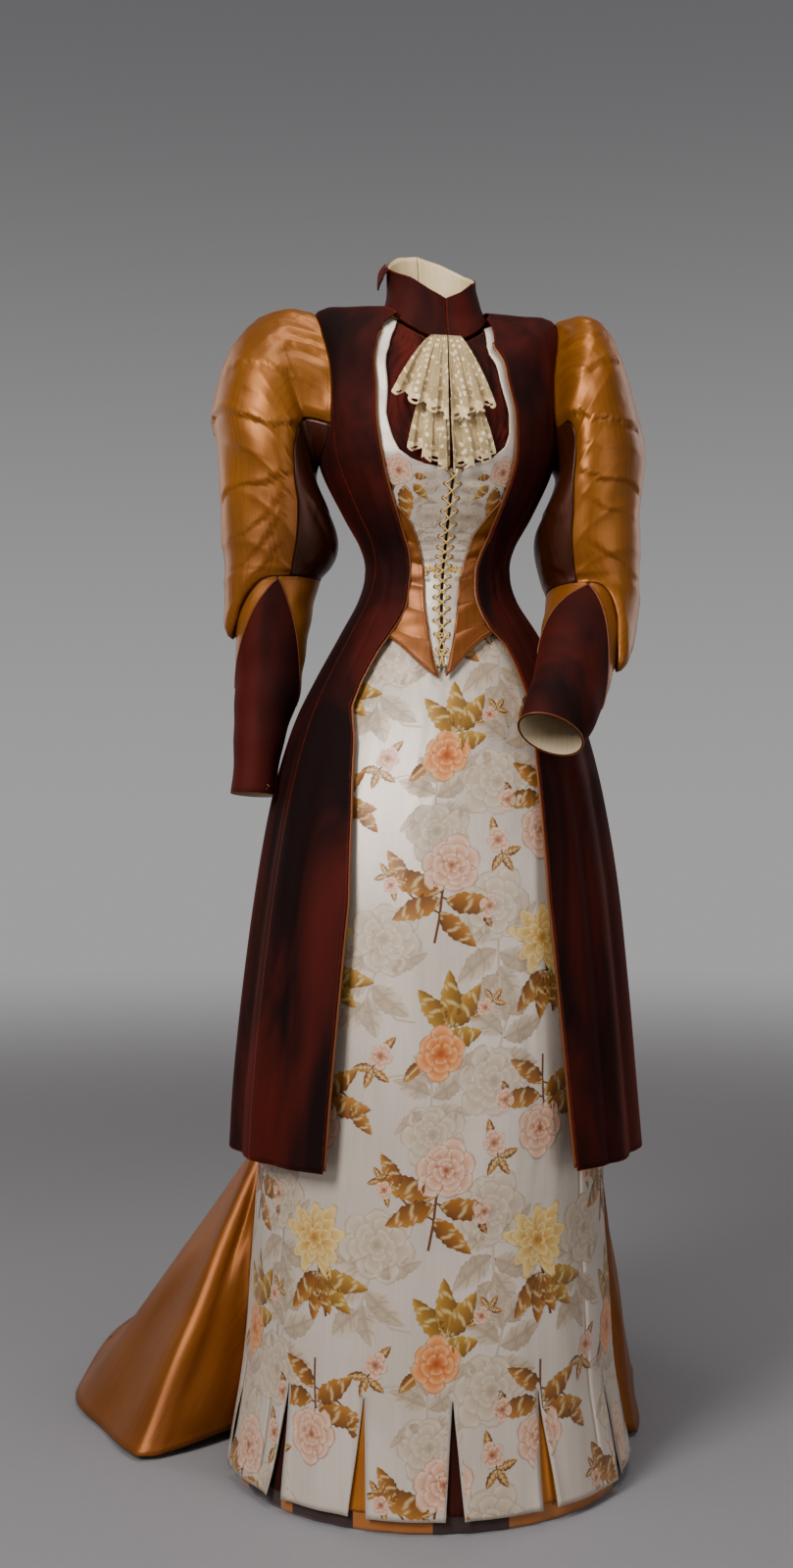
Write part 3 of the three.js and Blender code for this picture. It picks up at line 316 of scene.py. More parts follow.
def mesh_piece(name, points, faces, uv=None, materials=(), material_index=None, flat=None):
    mesh = bpy.data.meshes.new(name)
    mesh.from_pydata((points / 1000.0).tolist(), [], faces.tolist())
    smooth = np.ones(len(faces), bool) if flat is None else ~flat
    mesh.polygons.foreach_set("use_smooth", smooth)
    for material in materials:
        mesh.materials.append(material)
    if material_index is not None:
        mesh.polygons.foreach_set("material_index", material_index)
    if uv is not None:
        layer = mesh.uv_layers.new(name="cloth")
        layer.data.foreach_set("uv", (uv / 1000.0).astype(np.float32).ravel())
    mesh.update()
    piece = bpy.data.objects.new(name, mesh)
    bpy.context.collection.objects.link(piece)
    return piece


KEPT_LINES = 0.8  # share of a smooth piece's drawn lines that its mesh keeps


def sew(name, face, guide, wall, cloth, lining, keep=None, ring=False):
    """One piece of cloth from a grid of its outer points: face, lining and narrow edges.
    Returns the object and its developed width, length and area in metres."""
    if keep is None and not name.startswith("lace"):
        picks = [np.unique(np.linspace(0, n - 1, round(n * KEPT_LINES)).round().astype(int))
                 for n in face.shape[:2]]
        face, guide = (g[np.ix_(*picks)] for g in (face, np.broadcast_to(guide, face.shape)))
    normal = grid_normals(face, guide, ring)
    inner = face - normal * wall
    across, down = run_along(face, 0), run_along(face, 1)
    columns, rows = face.shape[0], face.shape[1]
    ids = np.arange(columns * rows).reshape(columns, rows)
    if ring:
        ids[-1] = ids[0]
    used = (columns - 1 if ring else columns) * rows
    keep = np.ones((columns - 1, rows - 1), bool) if keep is None else keep
    spot = np.arange(columns * rows).reshape(columns, rows)

    def quads(index):
        return np.stack([index[:-1, :-1], index[:-1, 1:], index[1:, 1:], index[1:, :-1]], -1)

    out, out_uv = quads(ids), quads(spot)
    a, b, c, d = (face.reshape(-1, 3)[out_uv[..., k]] for k in range(4))
    facing = np.einsum("...k,...k->...", np.cross(b - a, c - a), normal[:-1, :-1]).sum()
    missing = np.pad(~keep, 1, constant_values=True)
    if ring:
        missing[0], missing[-1] = missing[-2], missing[1]
    beyond = [missing[:-2, 1:-1], missing[1:-1, 2:], missing[2:, 1:-1], missing[1:-1, :-2]]
    faces = [out[keep], out[keep][:, ::-1] + used]
    spots = [out_uv[keep], out_uv[keep][:, ::-1]]
    for k in range(4):
        free = keep & beyond[k]
        first, second = out[free][:, k], out[free][:, (k + 1) % 4]
        faces.append(np.stack([second, first, first + used, second + used], -1))
        first, second = out_uv[free][:, k], out_uv[free][:, (k + 1) % 4]
        spots.append(np.stack([second, first, first, second], -1))
    kinds = np.concatenate([np.full(len(f), 1 if k == 1 else 0) for k, f in enumerate(faces)])
    flat = np.concatenate([np.full(len(f), k > 1) for k, f in enumerate(faces)])
    faces, spots = np.concatenate(faces), np.concatenate(spots)
    if facing < 0:
        faces, spots = faces[:, ::-1], spots[:, ::-1]
    uv = np.stack([across - across[-1:] / 2, -down], -1).reshape(-1, 2)[spots]
    points = np.concatenate([face.reshape(-1, 3)[:used], inner.reshape(-1, 3)[:used]])
    piece = mesh_piece(name, points, faces, uv, (cloth, lining), kinds, flat)
    # Distance to the nearest free edge, which the materials use for stitching, for wear, and for painted
    # sheen and painted shade along the edges.
    sides = [down, down[:, -1:] - down]
    if not ring:
        sides += [across, across[-1:] - across]
    edge = np.minimum.reduce(sides).reshape(-1)[:used] / 1000.0
    held = piece.data.attributes.new("edge", "FLOAT", "POINT")
    held.data.foreach_set("value", np.concatenate([edge, edge]).astype(np.float32))
    areas = np.linalg.norm(np.cross(c - a, d - b), axis=-1) / 2
    size = (across[-1].max() / 1000, down[:, -1].max() / 1000, areas[keep].sum() / 1e6)
    return piece, size


def dress(piece, size, nodes, gather=(1.0, 1.0)):
    """Hangs a piece of cloth on the root and hides the model's parts it stands for; it works out the cut
    of what shows, without its turnings, but keeps nothing of it.
    Gather is how much wider and longer the cut is than the worn piece."""
    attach(piece, "root")
    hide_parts(*nodes)
    width, length = size[0] * gather[0], size[1] * gather[1]
    area = size[2] * gather[0] * gather[1]
    area = min(max(area, 0.31 * width * length), width * length)


def srgb(red, green, blue):
    """A colour of 0 to 255 as linear light."""
    shares = np.array([red, green, blue]) / 255.0
    light = np.where(shares <= 0.04045, shares / 12.92, ((shares + 0.055) / 1.055) ** 2.4)
    return (*light.tolist(), 1.0)


def new_group(name, inputs, outputs):
    tree = bpy.data.node_groups.new(name, "ShaderNodeTree")
    for label, kind, value in inputs:
        socket = tree.interface.new_socket(label, in_out="INPUT", socket_type="NodeSocket" + kind)
        if value is not None:
            socket.default_value = value
    for label, kind in outputs:
        tree.interface.new_socket(label, in_out="OUTPUT", socket_type="NodeSocket" + kind)
    return tree, tree.nodes.new("NodeGroupInput").outputs, tree.nodes.new("NodeGroupOutput").inputs


def place_group(tree, group, inputs):
    made = tree.nodes.new("ShaderNodeGroup")
    made.node_tree = group
    for key, value in inputs.items():
        if isinstance(value, bpy.types.NodeSocket):
            tree.links.new(value, made.inputs[key])
        else:
            made.inputs[key].default_value = value
    return made.outputs


def cloth_place(tree):
    """Cloth coordinates in metres: across the piece and down it."""
    return add(tree, "UVMap", uv_map="cloth").outputs[0]


def edge_distance(tree):
    return add(tree, "Attribute", attribute_name="edge").outputs["Fac"]


# Pile that lies one way here and another there: a shade from 0 to 1, which the velvet paints as lighter
# patches of painted sheen, and a height.
NAP_SHEEN, nap_sheen_in, nap_sheen_out = new_group(
    "pile_lie_and_sheen",
    [("Place", "Vector", None), ("Patch Size", "Float", 9.0), ("Brushed Sheen", "Float", 0.6)],
    [("Shade", "Float"), ("Height", "Float")])
stretch = add(NAP_SHEEN, "VectorMath", {0: nap_sheen_in["Place"], 1: (1.0, 1.0, 0.35)}, operation="MULTIPLY")
patches = add(NAP_SHEEN, "TexNoise", {"Vector": stretch.outputs[0], "Scale": nap_sheen_in["Patch Size"],
                                "Detail": 3.0, "Roughness": 0.55, "Distortion": 0.7})
fine = add(NAP_SHEEN, "TexNoise", {"Vector": nap_sheen_in["Place"], "Scale": 900.0, "Detail": 2.0})
lie = add(NAP_SHEEN, "MapRange", {0: patches.outputs[0], 1: 0.35, 2: 0.68, 3: 0.0, 4: 1.0},
          interpolation_type="SMOOTHSTEP").outputs[0]
NAP_SHEEN.links.new(calc(NAP_SHEEN, "MULTIPLY", lie, nap_sheen_in["Brushed Sheen"]), nap_sheen_out["Shade"])
NAP_SHEEN.links.new(calc(NAP_SHEEN, "MULTIPLY_ADD", lie, 0.3, fine.outputs[0]), nap_sheen_out["Height"])

# Threads that cross at right angles, so many to the metre, with uneven slubs.
WEAVE, weave_in, weave_out = new_group(
    "crossed_threads",
    [("Cloth", "Vector", None), ("Across", "Float", 1400.0), ("Down", "Float", 700.0),
     ("Slub", "Float", 0.5)],
    [("Height", "Float"), ("Slub", "Float")])
split = add(WEAVE, "SeparateXYZ", {0: weave_in["Cloth"]})
warp = calc(WEAVE, "SINE", calc(WEAVE, "MULTIPLY", split.outputs[0],
                                calc(WEAVE, "MULTIPLY", weave_in["Across"], 6.2832)))
weft = calc(WEAVE, "SINE", calc(WEAVE, "MULTIPLY", split.outputs[1],
                                calc(WEAVE, "MULTIPLY", weave_in["Down"], 6.2832)))
streaks = add(WEAVE, "VectorMath", {0: weave_in["Cloth"], 1: (260.0, 11.0, 1.0)},
              operation="MULTIPLY")
slub = add(WEAVE, "TexNoise", {"Vector": streaks.outputs[0], "Scale": 1.0, "Detail": 3.0})
WEAVE.links.new(calc(WEAVE, "ADD", calc(WEAVE, "MULTIPLY", warp, 0.5),
                     calc(WEAVE, "MULTIPLY", weft, 0.25)), weave_out["Height"])
WEAVE.links.new(calc(WEAVE, "MULTIPLY", calc(WEAVE, "SUBTRACT", slub.outputs[0], 0.5),
                     weave_in["Slub"]), weave_out["Slub"])

# A band along the free edge of a piece: 1 on the edge, broken up, and 0 inside it. The brocade uses it
# for real wear, the velvet for a painted highlight in its sheen colour with wear, and the satin for
# painted shade.
EDGE_WEAR_LIGHT, edge_wear_light_in, edge_wear_light_out = new_group(
    "edge_wear_and_painted_light",
    [("Edge", "Float", 1.0), ("Place", "Vector", None), ("Width", "Float", 0.004)],
    [("Wear And Light", "Float")])
inside = calc(EDGE_WEAR_LIGHT, "DIVIDE", edge_wear_light_in["Edge"], edge_wear_light_in["Width"])
spots = add(EDGE_WEAR_LIGHT, "TexNoise", {"Vector": edge_wear_light_in["Place"], "Scale": 140.0, "Detail": 3.0})
worn = calc(EDGE_WEAR_LIGHT, "SUBTRACT", calc(EDGE_WEAR_LIGHT, "MULTIPLY", spots.outputs[0], 1.7), inside, clamp=True)
EDGE_WEAR_LIGHT.links.new(worn, edge_wear_light_out["Wear And Light"])

# A row of small stitches at a set distance from the free edge.
STITCHES, stitch_in, stitch_out = new_group(
    "stitch_row",
    [("Edge", "Float", 1.0), ("Cloth", "Vector", None), ("Offset", "Float", 0.005),
     ("Length", "Float", 0.003)],
    [("Thread", "Float"), ("Height", "Float")])
split = add(STITCHES, "SeparateXYZ", {0: stitch_in["Cloth"]})
way = calc(STITCHES, "DIVIDE", calc(STITCHES, "ADD", split.outputs[0], split.outputs[1]),
           stitch_in["Length"])
dash = calc(STITCHES, "GREATER_THAN", calc(STITCHES, "FRACT", way), 0.35)
off_line = calc(STITCHES, "ABSOLUTE", calc(STITCHES, "SUBTRACT", stitch_in["Edge"],
                                           stitch_in["Offset"]))
line = calc(STITCHES, "LESS_THAN", off_line, 0.00035)
pucker = add(STITCHES, "MapRange", {0: off_line, 1: 0.0, 2: 0.0018, 3: -1.0, 4: 0.0})
STITCHES.links.new(calc(STITCHES, "MULTIPLY", dash, line), stitch_out["Thread"])
STITCHES.links.new(pucker.outputs[0], stitch_out["Height"])


def velvet_cloth(name, deep, lit, sheen_tint, patch=9.0, brushed_sheen=0.7):
    """Silk pile: dark seen straight on, with patches painted towards a lit colour where the pile leans
    (painted sheen), and free edges painted towards the sheen colour, partly rubbed wear and partly a
    painted highlight.
    """
    material, tree = new_material(name)
    place = add(tree, "TexCoord").outputs["Object"]
    cloth, edge = cloth_place(tree), edge_distance(tree)
    nap_sheen = place_group(tree, NAP_SHEEN, {"Place": place, "Patch Size": patch, "Brushed Sheen": brushed_sheen})
    edge_wear_light = place_group(tree, EDGE_WEAR_LIGHT, {"Edge": edge, "Place": place, "Width": 0.003})
    sewn = place_group(tree, STITCHES, {"Edge": edge, "Cloth": cloth, "Offset": 0.004})
    # Pile patches mix the dark and the lit colour: painted sheen where the pile leans.
    tone = blend(tree, nap_sheen["Shade"], deep, lit)
    # Free edges lighten towards the sheen colour: partly rubbed pile, partly a painted highlight.
    tone = blend(tree, calc(tree, "MULTIPLY", edge_wear_light["Wear And Light"], 0.12), tone, sheen_tint)
    tone = blend(tree, calc(tree, "MULTIPLY", sewn["Thread"], 0.5), tone, deep)
    height = calc(tree, "ADD", nap_sheen["Height"], sewn["Height"])
    bump = add(tree, "Bump", {"Strength": 0.35, "Distance": 0.0005, "Height": height})
    rough = calc(tree, "MULTIPLY_ADD", nap_sheen["Shade"], -0.15, 0.82)
    shader = add(tree, "BsdfPrincipled", {
        "Base Color": tone, "Roughness": rough, "Normal": bump.outputs[0],
        "Specular IOR Level": 0.1, "Sheen Weight": 0.28, "Sheen Roughness": 0.3,
        "Sheen Tint": sheen_tint})
    finish_material(tree, shader)
    return material


def satin_cloth(name, deep, lit, shine=0.33, metal=0.3, threads=1500.0):
    """Silk satin: long floats that give a soft, coloured gleam. Broad patches and slubs mix a shaded and
    a lit copy of its colour, as painted shade and painted highlight, and its free edges are painted
    towards the shaded copy as painted shade.
    """
    material, tree = new_material(name)
    place = add(tree, "TexCoord").outputs["Object"]
    cloth, edge = cloth_place(tree), edge_distance(tree)
    weave = place_group(tree, WEAVE, {"Cloth": cloth, "Across": threads, "Down": threads / 5,
                                      "Slub": 0.55})
    edge_wear_light = place_group(tree, EDGE_WEAR_LIGHT, {"Edge": edge, "Place": place, "Width": 0.003})
    sewn = place_group(tree, STITCHES, {"Edge": edge, "Cloth": cloth, "Offset": 0.004})
    # Broad noise and the slubs mix a shaded and a lit copy of the satin: painted shade and painted
    # highlight in soft patches.
    cloud = add(tree, "TexNoise", {"Vector": place, "Scale": 7.0, "Detail": 3.0})
    shade = calc(tree, "ADD", calc(tree, "MULTIPLY_ADD", cloud.outputs[0], 1.1, -0.05),
                 weave["Slub"], clamp=True)
    tone = blend(tree, shade, deep, lit)
    # Free edges darken towards the shaded copy: painted shade along the edges.
    tone = blend(tree, calc(tree, "MULTIPLY", edge_wear_light["Wear And Light"], 0.3), tone, deep)
    tone = blend(tree, calc(tree, "MULTIPLY", sewn["Thread"], 0.6), tone, deep)
    height = calc(tree, "ADD", calc(tree, "MULTIPLY", weave["Height"], 0.15), sewn["Height"])
    bump = add(tree, "Bump", {"Strength": 0.22, "Distance": 0.0004, "Height": height})
    rough = calc(tree, "MULTIPLY_ADD", weave["Slub"], 0.25, shine)
    shader = add(tree, "BsdfPrincipled", {
        "Base Color": tone, "Roughness": rough, "Metallic": metal, "Normal": bump.outputs[0],
        "Specular IOR Level": 0.4, "Sheen Weight": 0.05, "Sheen Roughness": 0.5,
        "Sheen Tint": lit})
    finish_material(tree, shader)
    return material


coat_velvet = velvet_cloth("coat_velvet", srgb(15, 2, 1), srgb(72, 14, 5), srgb(164, 52, 20))
coat_lining = satin_cloth("coat_lining", srgb(92, 52, 26), srgb(130, 78, 40), 0.45, 0.1)
facing_satin = satin_cloth("facing_satin", srgb(84, 42, 14), srgb(132, 72, 28), 0.42)

# Soft folds of the coat: side, path of degrees and levels, width and height in millimetres.
COAT_FOLDS = [
    (-1, [(-56, 9.4), (-58, 12), (-60, 15), (-61, 17)], 24, 5.0),
    (-1, [(-46, 10.6), (-44, 13), (-43, 17)], 16, 3.0),
    (-1, [(-80, 10), (-82, 13), (-83, 17)], 30, 6.0),
    (-1, [(-70, 11), (-72, 14), (-73, 17)], 13, -4.0),
    (-1, [(-50, 12), (-51, 15), (-52, 17)], 9, -2.6),
    (-1, [(-62, 6.2), (-46, 8.2), (-40, 9.8)], 5, -1.6),
    (-1, [(-60, 7.6), (-48, 8.6), (-36, 8.9)], 5, 1.5),
    (-1, [(-62, 8.6), (-50, 9.0), (-40, 9.1)], 4, -1.3),
    (-1, [(-44, 5.0), (-42, 6.6), (-38, 8.2)], 9, 2.2),
    (-1, [(-70, 1.4), (-60, 2.6), (-54, 4.0)], 14, 2.4),
    (1, [(56, 9.4), (57, 12), (58, 15), (58, 17)], 24, 5.0),
    (1, [(44, 10.8), (46, 13), (48, 17)], 14, 2.6),
    (1, [(78, 10), (80, 13), (82, 17)], 30, 6.0),
    (1, [(68, 11), (69, 14), (70, 17)], 13, -4.0),
    (1, [(52, 11.6), (53, 14), (53, 17)], 9, -2.6),
    (1, [(62, 6.0), (48, 8.0), (40, 9.6)], 5, -1.6),
    (1, [(60, 7.4), (46, 8.5), (36, 8.9)], 5, 1.5),
    (1, [(44, 5.2), (42, 6.8), (37, 8.4)], 9, 2.0),
    (1, [(68, 1.6), (58, 2.8), (50, 4.2)], 14, 2.4),
]
for side in (-1, 1):
    for turn in (100, 118, 137, 157):
        COAT_FOLDS.append((side, [(side * turn, 10.2), (side * (turn + 1), 13),
                                  (side * (turn + 1), 17)], 26, 7.0 if turn % 2 else 5.5))
    for turn in (109, 128, 147, 168):
        COAT_FOLDS.append((side, [(side * turn, 10.6), (side * turn, 17)], 12, -5.0))
    # The long dart of the front, from the bust to the hip.
    COAT_FOLDS.append((side, [(side * 50, 4.2), (side * 47, 6), (side * 44, 8), (side * 46, 10),
                              (side * 50, 12)], 2.4, -1.1))


def coat_path(corners):
    turns, levels = np.array(corners, float).T
    share = np.linspace(0, len(corners) - 1, 4 * len(corners))
    knots = np.arange(len(corners))
    return oval(COAT_FORM, np.interp(share, knots, turns), np.interp(share, knots, levels))


def coat_cloth(turn, v, side):
    """The coat's outer face with its folds, and the guide to its outside."""
    points, normal = coat_at(turn, v, 0.0)
    for hand, corners, wide, high in COAT_FOLDS:
        if hand == side:
            fade = (0.35, 0.0) if corners[-1][1] > 16.5 else (0.25, 0.25)
            points = crease(points, normal, coat_path(corners), wide, high, fade=fade)
    return points, normal


def collar_level(turn):
    t = np.minimum(np.abs(turn), 90)
    return 0.02 + 0.93 * (1 - t / 90) ** 1.35


def armhole_turn(v):
    c = np.minimum(np.abs(ARMHOLE_LEVEL - v) / ARMHOLE_DROP, 1)
    return ARMHOLE_TURN - ARMHOLE_SPREAD * np.sqrt(1 - c * c)


def under_collar(levels, top, low=1.3):
    """Level rows that start at the collar seam and are even again from level low on."""
    first = levels[0, 0]
    return levels + (top - first) * np.clip(1 - (levels - first) / (low - first), 0, 1)


for side, word in ((-1, "right"), (1, "left")):
    base = even_levels(coat_form, 60, 0.12, 17, 6.0, stops=(2.0, 3.45))[None, :]
    share = np.linspace(0, 1, 35)[:, None]
    top = np.maximum(collar_level(mix(46, 90, share)) + 0.06, 0.12)
    v = under_collar(base, top)
    outer = np.where(v < 3.45, np.minimum(armhole_turn(v), 90 - degrees_of(SEAM / 2, v)),
                     SIDE_SEAM - degrees_of(SEAM / 2, v))
    turn = side * mix(side * along(COAT_EDGE[side], v), outer, share)
    face, guide = coat_cloth(turn, v, side)
    piece, size = sew("velvet_front_" + word, face, guide, VELVET, coat_velvet, coat_lining)
    dress(piece, size, ["coat_front_" + word])

    v = even_levels(coat_form, 35, 1.3, 16.96, 5.0)[None, :] + np.zeros((5, 1))
    start = side * along(COAT_EDGE[side], v) - degrees_of(2.5, v)
    turn = side * (start + np.linspace(0, 1, 5)[:, None] * degrees_of(16, v))
    face, guide = coat_at(turn, v, FACING_DEPTH)
    piece, size = sew("satin_facing_" + word, face, guide, 1.0, facing_satin, coat_lining)
    dress(piece, size, ["coat_facing_" + word])

    a = np.radians(np.linspace(90, 270, 41))[:, None]
    turn = ARMHOLE_TURN - ARMHOLE_SPREAD * np.sin(a)
    top = ARMHOLE_LEVEL - ARMHOLE_DROP * np.cos(a)
    upper = mix(top, 5.5, np.linspace(0, 1, 15)[None, :-1])
    v = np.concatenate([upper, even_levels(coat_form, 90, 5.5, 17, 6.0)[None, :]
                        + np.zeros_like(a)], 1)
    pull = np.zeros_like(a)
    pull[0], pull[-1] = 1, -1
    turn = side * (turn + pull * degrees_of(SEAM / 2, v))
    face, guide = coat_cloth(turn, v, side)
    piece, size = sew("velvet_side_" + word, face, guide, VELVET, coat_velvet, coat_lining)
    dress(piece, size, ["coat_side_" + word])

    v = even_levels(coat_form, 150, 0.12, 17, 7.0, stops=(2.0, 3.45))[None, :] + np.zeros((41, 1))
    gap = degrees_of(SEAM / 2, v)
    start = np.where(v < 2, 90 + gap, 180 - np.minimum(armhole_turn(v), 90 - gap))
    start = np.where(v >= ARMHOLE_LEVEL, BACK_SEAM + gap, start)
    turn = side * mix(start, 180 - gap, np.linspace(0, 1, 41)[:, None])
    face, guide = coat_cloth(turn, v, side)
    piece, size = sew("velvet_back_" + word, face, guide, VELVET, coat_velvet, coat_lining)
    dress(piece, size, ["coat_back_" + word])

# ---- The bodice front: two brocade halves that lace together ----
# Ivory silk brocade over a boned lining, cut with a deep round neckline. The sides run under the
# coat; the long edges carry the eyelets. The cloth is a satin with matt tone-on-tone flowers.
BROCADE = 1.5
BODICE_DEPTH, PLASTRON_DEPTH = 7.4, 11.4
YOKE_EDGE = {
    -1: np.array([
        [0.6, -42], [0.9, -38], [1.74, -31], [2.69, -30], [3.56, -31], [4.21, -28], [4.61, -25],
        [4.9, -19], [5.05, -12], [5.14, 0]]),
    1: np.array([
        [0.4, 38], [0.9, 29], [1.43, 22], [2.47, 24], [3.45, 29], [3.98, 30], [4.43, 28],
        [4.84, 21], [5.02, 11], [5.14, 4]]),
}
LACING_LINE = np.array([
    [4.9, 2.4], [5.23, 2], [5.9, 1.2], [7.06, 0.8], [8.3, -0.2], [9.59, -1], [11.05, -1]])
GIRDLE_LOW = {  # degrees and level
    -1: np.array([[-62, 10.0], [-30, 10.06], [-20, 10.3], [-13, 10.55], [-6, 10.84], [-1, 11.06]]),
    1: np.array([[-1, 11.06], [5, 10.72], [10, 10.45], [18, 10.19], [28, 9.97], [62, 9.95]]),
}


def bodice_depth(turn):
    near = np.clip((np.abs(turn) - 62) / 26, 0, 1)
    return mix(BODICE_DEPTH, VELVET + 0.7, near)


# Soft pulls across the laced front, one between each pair of eyelet rows, and gentle puckers.
def bodice_cloth(turn, v):
    points, normal = coat_at(turn, v, bodice_depth(turn))
    off = np.abs(turn - along(LACING_LINE, v))
    pull = np.sin((v - 5.18) * 17.95) * 0.45 * np.exp(-((off - 10) / 9) ** 2) * (v > 4.9)
    slack = (0.55 * np.sin(v * 5.1 + turn * 0.13) + 0.4 * np.sin(v * 9.7 - turn * 0.21)) * 0.6
    return points + normal * (pull + slack)[..., None], normal


def brocade_cloth(name, ground, shaded_ground):
    """Ivory satin ground with faint slubs and a soft silvery gleam, broad patches painted towards a
    darker shaded ground as painted shade, and edges yellowed by wear.
    """
    material, tree = new_material(name)
    place = add(tree, "TexCoord").outputs["Object"]
    cloth, edge = cloth_place(tree), edge_distance(tree)
    weave = place_group(tree, WEAVE, {"Cloth": cloth, "Across": 1100.0, "Down": 800.0,
                                      "Slub": 0.35})
    edge_wear_light = place_group(tree, EDGE_WEAR_LIGHT, {"Edge": edge, "Place": place, "Width": 0.002})
    # Broad noise and the slubs mix the ground with a darker shaded ground: painted shade in soft
    # patches.
    cloud = add(tree, "TexNoise", {"Vector": place, "Scale": 5.0, "Detail": 4.0})
    shade = calc(tree, "ADD", calc(tree, "MULTIPLY_ADD", cloud.outputs[0], 1.2, -0.1),
                 weave["Slub"], clamp=True)
    tone = blend(tree, shade, shaded_ground, ground)
    tone = blend(tree, calc(tree, "MULTIPLY", edge_wear_light["Wear And Light"], 0.5), tone, srgb(190, 160, 112))
    bump = add(tree, "Bump", {"Strength": 0.2, "Distance": 0.0004, "Height": weave["Height"]})
    rough = calc(tree, "MULTIPLY_ADD", weave["Slub"], 0.3, 0.36)
    shader = add(tree, "BsdfPrincipled", {
        "Base Color": tone, "Roughness": rough, "Metallic": 0.35, "Normal": bump.outputs[0],
        "Specular IOR Level": 0.5})
    finish_material(tree, shader)
    return material


ivory_brocade = brocade_cloth("ivory_brocade", srgb(212, 198, 184), srgb(176, 160, 144))
cotton = satin_cloth("cotton_lining", srgb(160, 138, 104), srgb(196, 178, 146), 0.8, 0.0, 900.0)

bodice_pieces = {}
for side, word in ((-1, "right"), (1, "left")):
    rows = np.array([0.62, 1.3, 2.11, 2.895, 3.45, 4.005, 4.475, 4.75, 4.93, 5.06, 5.16, 5.56, 6,
                     7, 8, 9, 9.67, 10.33, 11])
    level = np.interp(np.linspace(0, len(rows) - 1, 109), np.arange(len(rows)), rows)[None, :]
    share = np.linspace(0, 1, 61)[:, None]

    def inner_edge(v, side=side):
        laced = along(LACING_LINE, v) + side * degrees_of(1.9, v)
        return np.where(v < 5.15, along(YOKE_EDGE[side], v), laced)

    outer = side * 88.0
    last = inner_edge(np.array(11.0))
    end = along(GIRDLE_LOW[side], mix(outer, last, share)) - 0.12
    v = np.where(level <= 9, level, mix(9, end, (level - 9) / 2))
    turn = mix(outer, inner_edge(v), share)
    face, guide = bodice_cloth(turn, v)
    piece, size = sew("brocade_bodice_" + word, face, guide, BROCADE, ivory_brocade, cotton)
    bodice_pieces[side] = (piece, size)

# ---- The woven flowers ----
# Sprays of roses and peonies brocaded in coloured silk, with tone-on-tone damask blooms between
# them. Each petal, leaf and stem is a small raised patch of floats laid on the cloth it is in.
ROSE = [srgb(140, 72, 34), srgb(212, 158, 126), srgb(236, 206, 182), srgb(120, 54, 20)]
PEONY = [srgb(176, 112, 34), srgb(218, 176, 96), srgb(240, 216, 158), srgb(150, 92, 26)]
CORAL = [srgb(160, 70, 20), srgb(214, 124, 58), srgb(238, 184, 134), srgb(140, 60, 18)]
LEAF = [srgb(88, 46, 10), srgb(150, 92, 24), srgb(190, 138, 62), srgb(226, 200, 142)]
OLIVE = [srgb(98, 60, 12), srgb(156, 110, 32), srgb(200, 160, 74), srgb(228, 204, 142)]
BROWN = [srgb(72, 34, 10), srgb(112, 62, 22), srgb(150, 96, 46), srgb(196, 154, 96)]
DAMASK = [srgb(168, 144, 118), srgb(192, 170, 146), srgb(214, 196, 174), srgb(152, 128, 102)]


def turned(x, y, at, angle):
    a = math.radians(angle)
    return np.stack([at[0] + x * math.cos(a) - y * math.sin(a),
                     at[1] + x * math.sin(a) + y * math.cos(a)], -1)


def shades(tones, share):
    """Colour along a list of tones."""
    ramp = np.array(tones[:3])
    return np.stack([np.interp(share, [0, 0.55, 1], ramp[:, k]) for k in range(3)], -1)


def leaf(at, angle, length, width, tones, lift=0.35, teeth=7, curl=0.12, cells=(18, 6)):
    """A toothed rose leaf: pale midrib and side veins, one half darker than the other."""
    t = np.linspace(0, 1, cells[0])[:, None] + np.zeros(cells[1])
    s = np.zeros(cells[0])[:, None] + np.linspace(-1, 1, cells[1])
    half = width / 2 * np.sin(np.pi * t ** 0.8) ** 0.8
    saw = 1 + 0.16 * np.abs(s) ** 3 * (1 - 2 * ((t * teeth) % 1))
    x = length * (t + 0.03 * np.abs(s))
    y = half * s * saw + length * curl * t * t
    vein = (((t * teeth - np.abs(s) * 1.3) % 1) < 0.2) & (np.abs(s) < 0.9) & (t < 0.9)
    rib = np.abs(s) < 0.14
    shade = 0.32 + 0.3 * s + 0.25 * t
    colour = shades(tones, np.clip(shade, 0, 1))
    colour = np.where((vein | rib)[..., None], 0.35 * colour + 0.65 * np.array(tones[3][:3]), colour)
    return turned(x, y, at, angle), colour, lift


def petal(at, angle, length, width, tones, lift=0.35, point=0.0, cells=(6, 6)):
    """A petal: deep at its base, pale towards a rounded or pointed rim with a fine outline."""
    t = np.concatenate([np.linspace(0, 0.9, cells[0] - 1), [1.0]])[:, None] + np.zeros(cells[1])
    s = np.zeros(cells[0])[:, None] + np.sin(np.linspace(-0.5, 0.5, cells[1]) * np.pi)
    half = width / 2 * (0.3 + 0.7 * np.sin(np.pi / 2 * t ** 0.8))
    x = length * t * (1 - 0.30 * s * s * t) * (1 - point * (np.abs(s)) * t * 0.3)
    y = half * s * (1 - point * t * 0.5)
    colour = shades(tones, np.clip(t * 0.95 + 0.12 * np.cos(s * 9), 0, 1))
    rim = (t > 0.97) | (np.abs(s) > 0.99)
    colour = np.where(rim[..., None], 0.4 * colour + 0.6 * np.array(tones[3][:3]), colour)
    return turned(x, y, at, angle), colour, lift


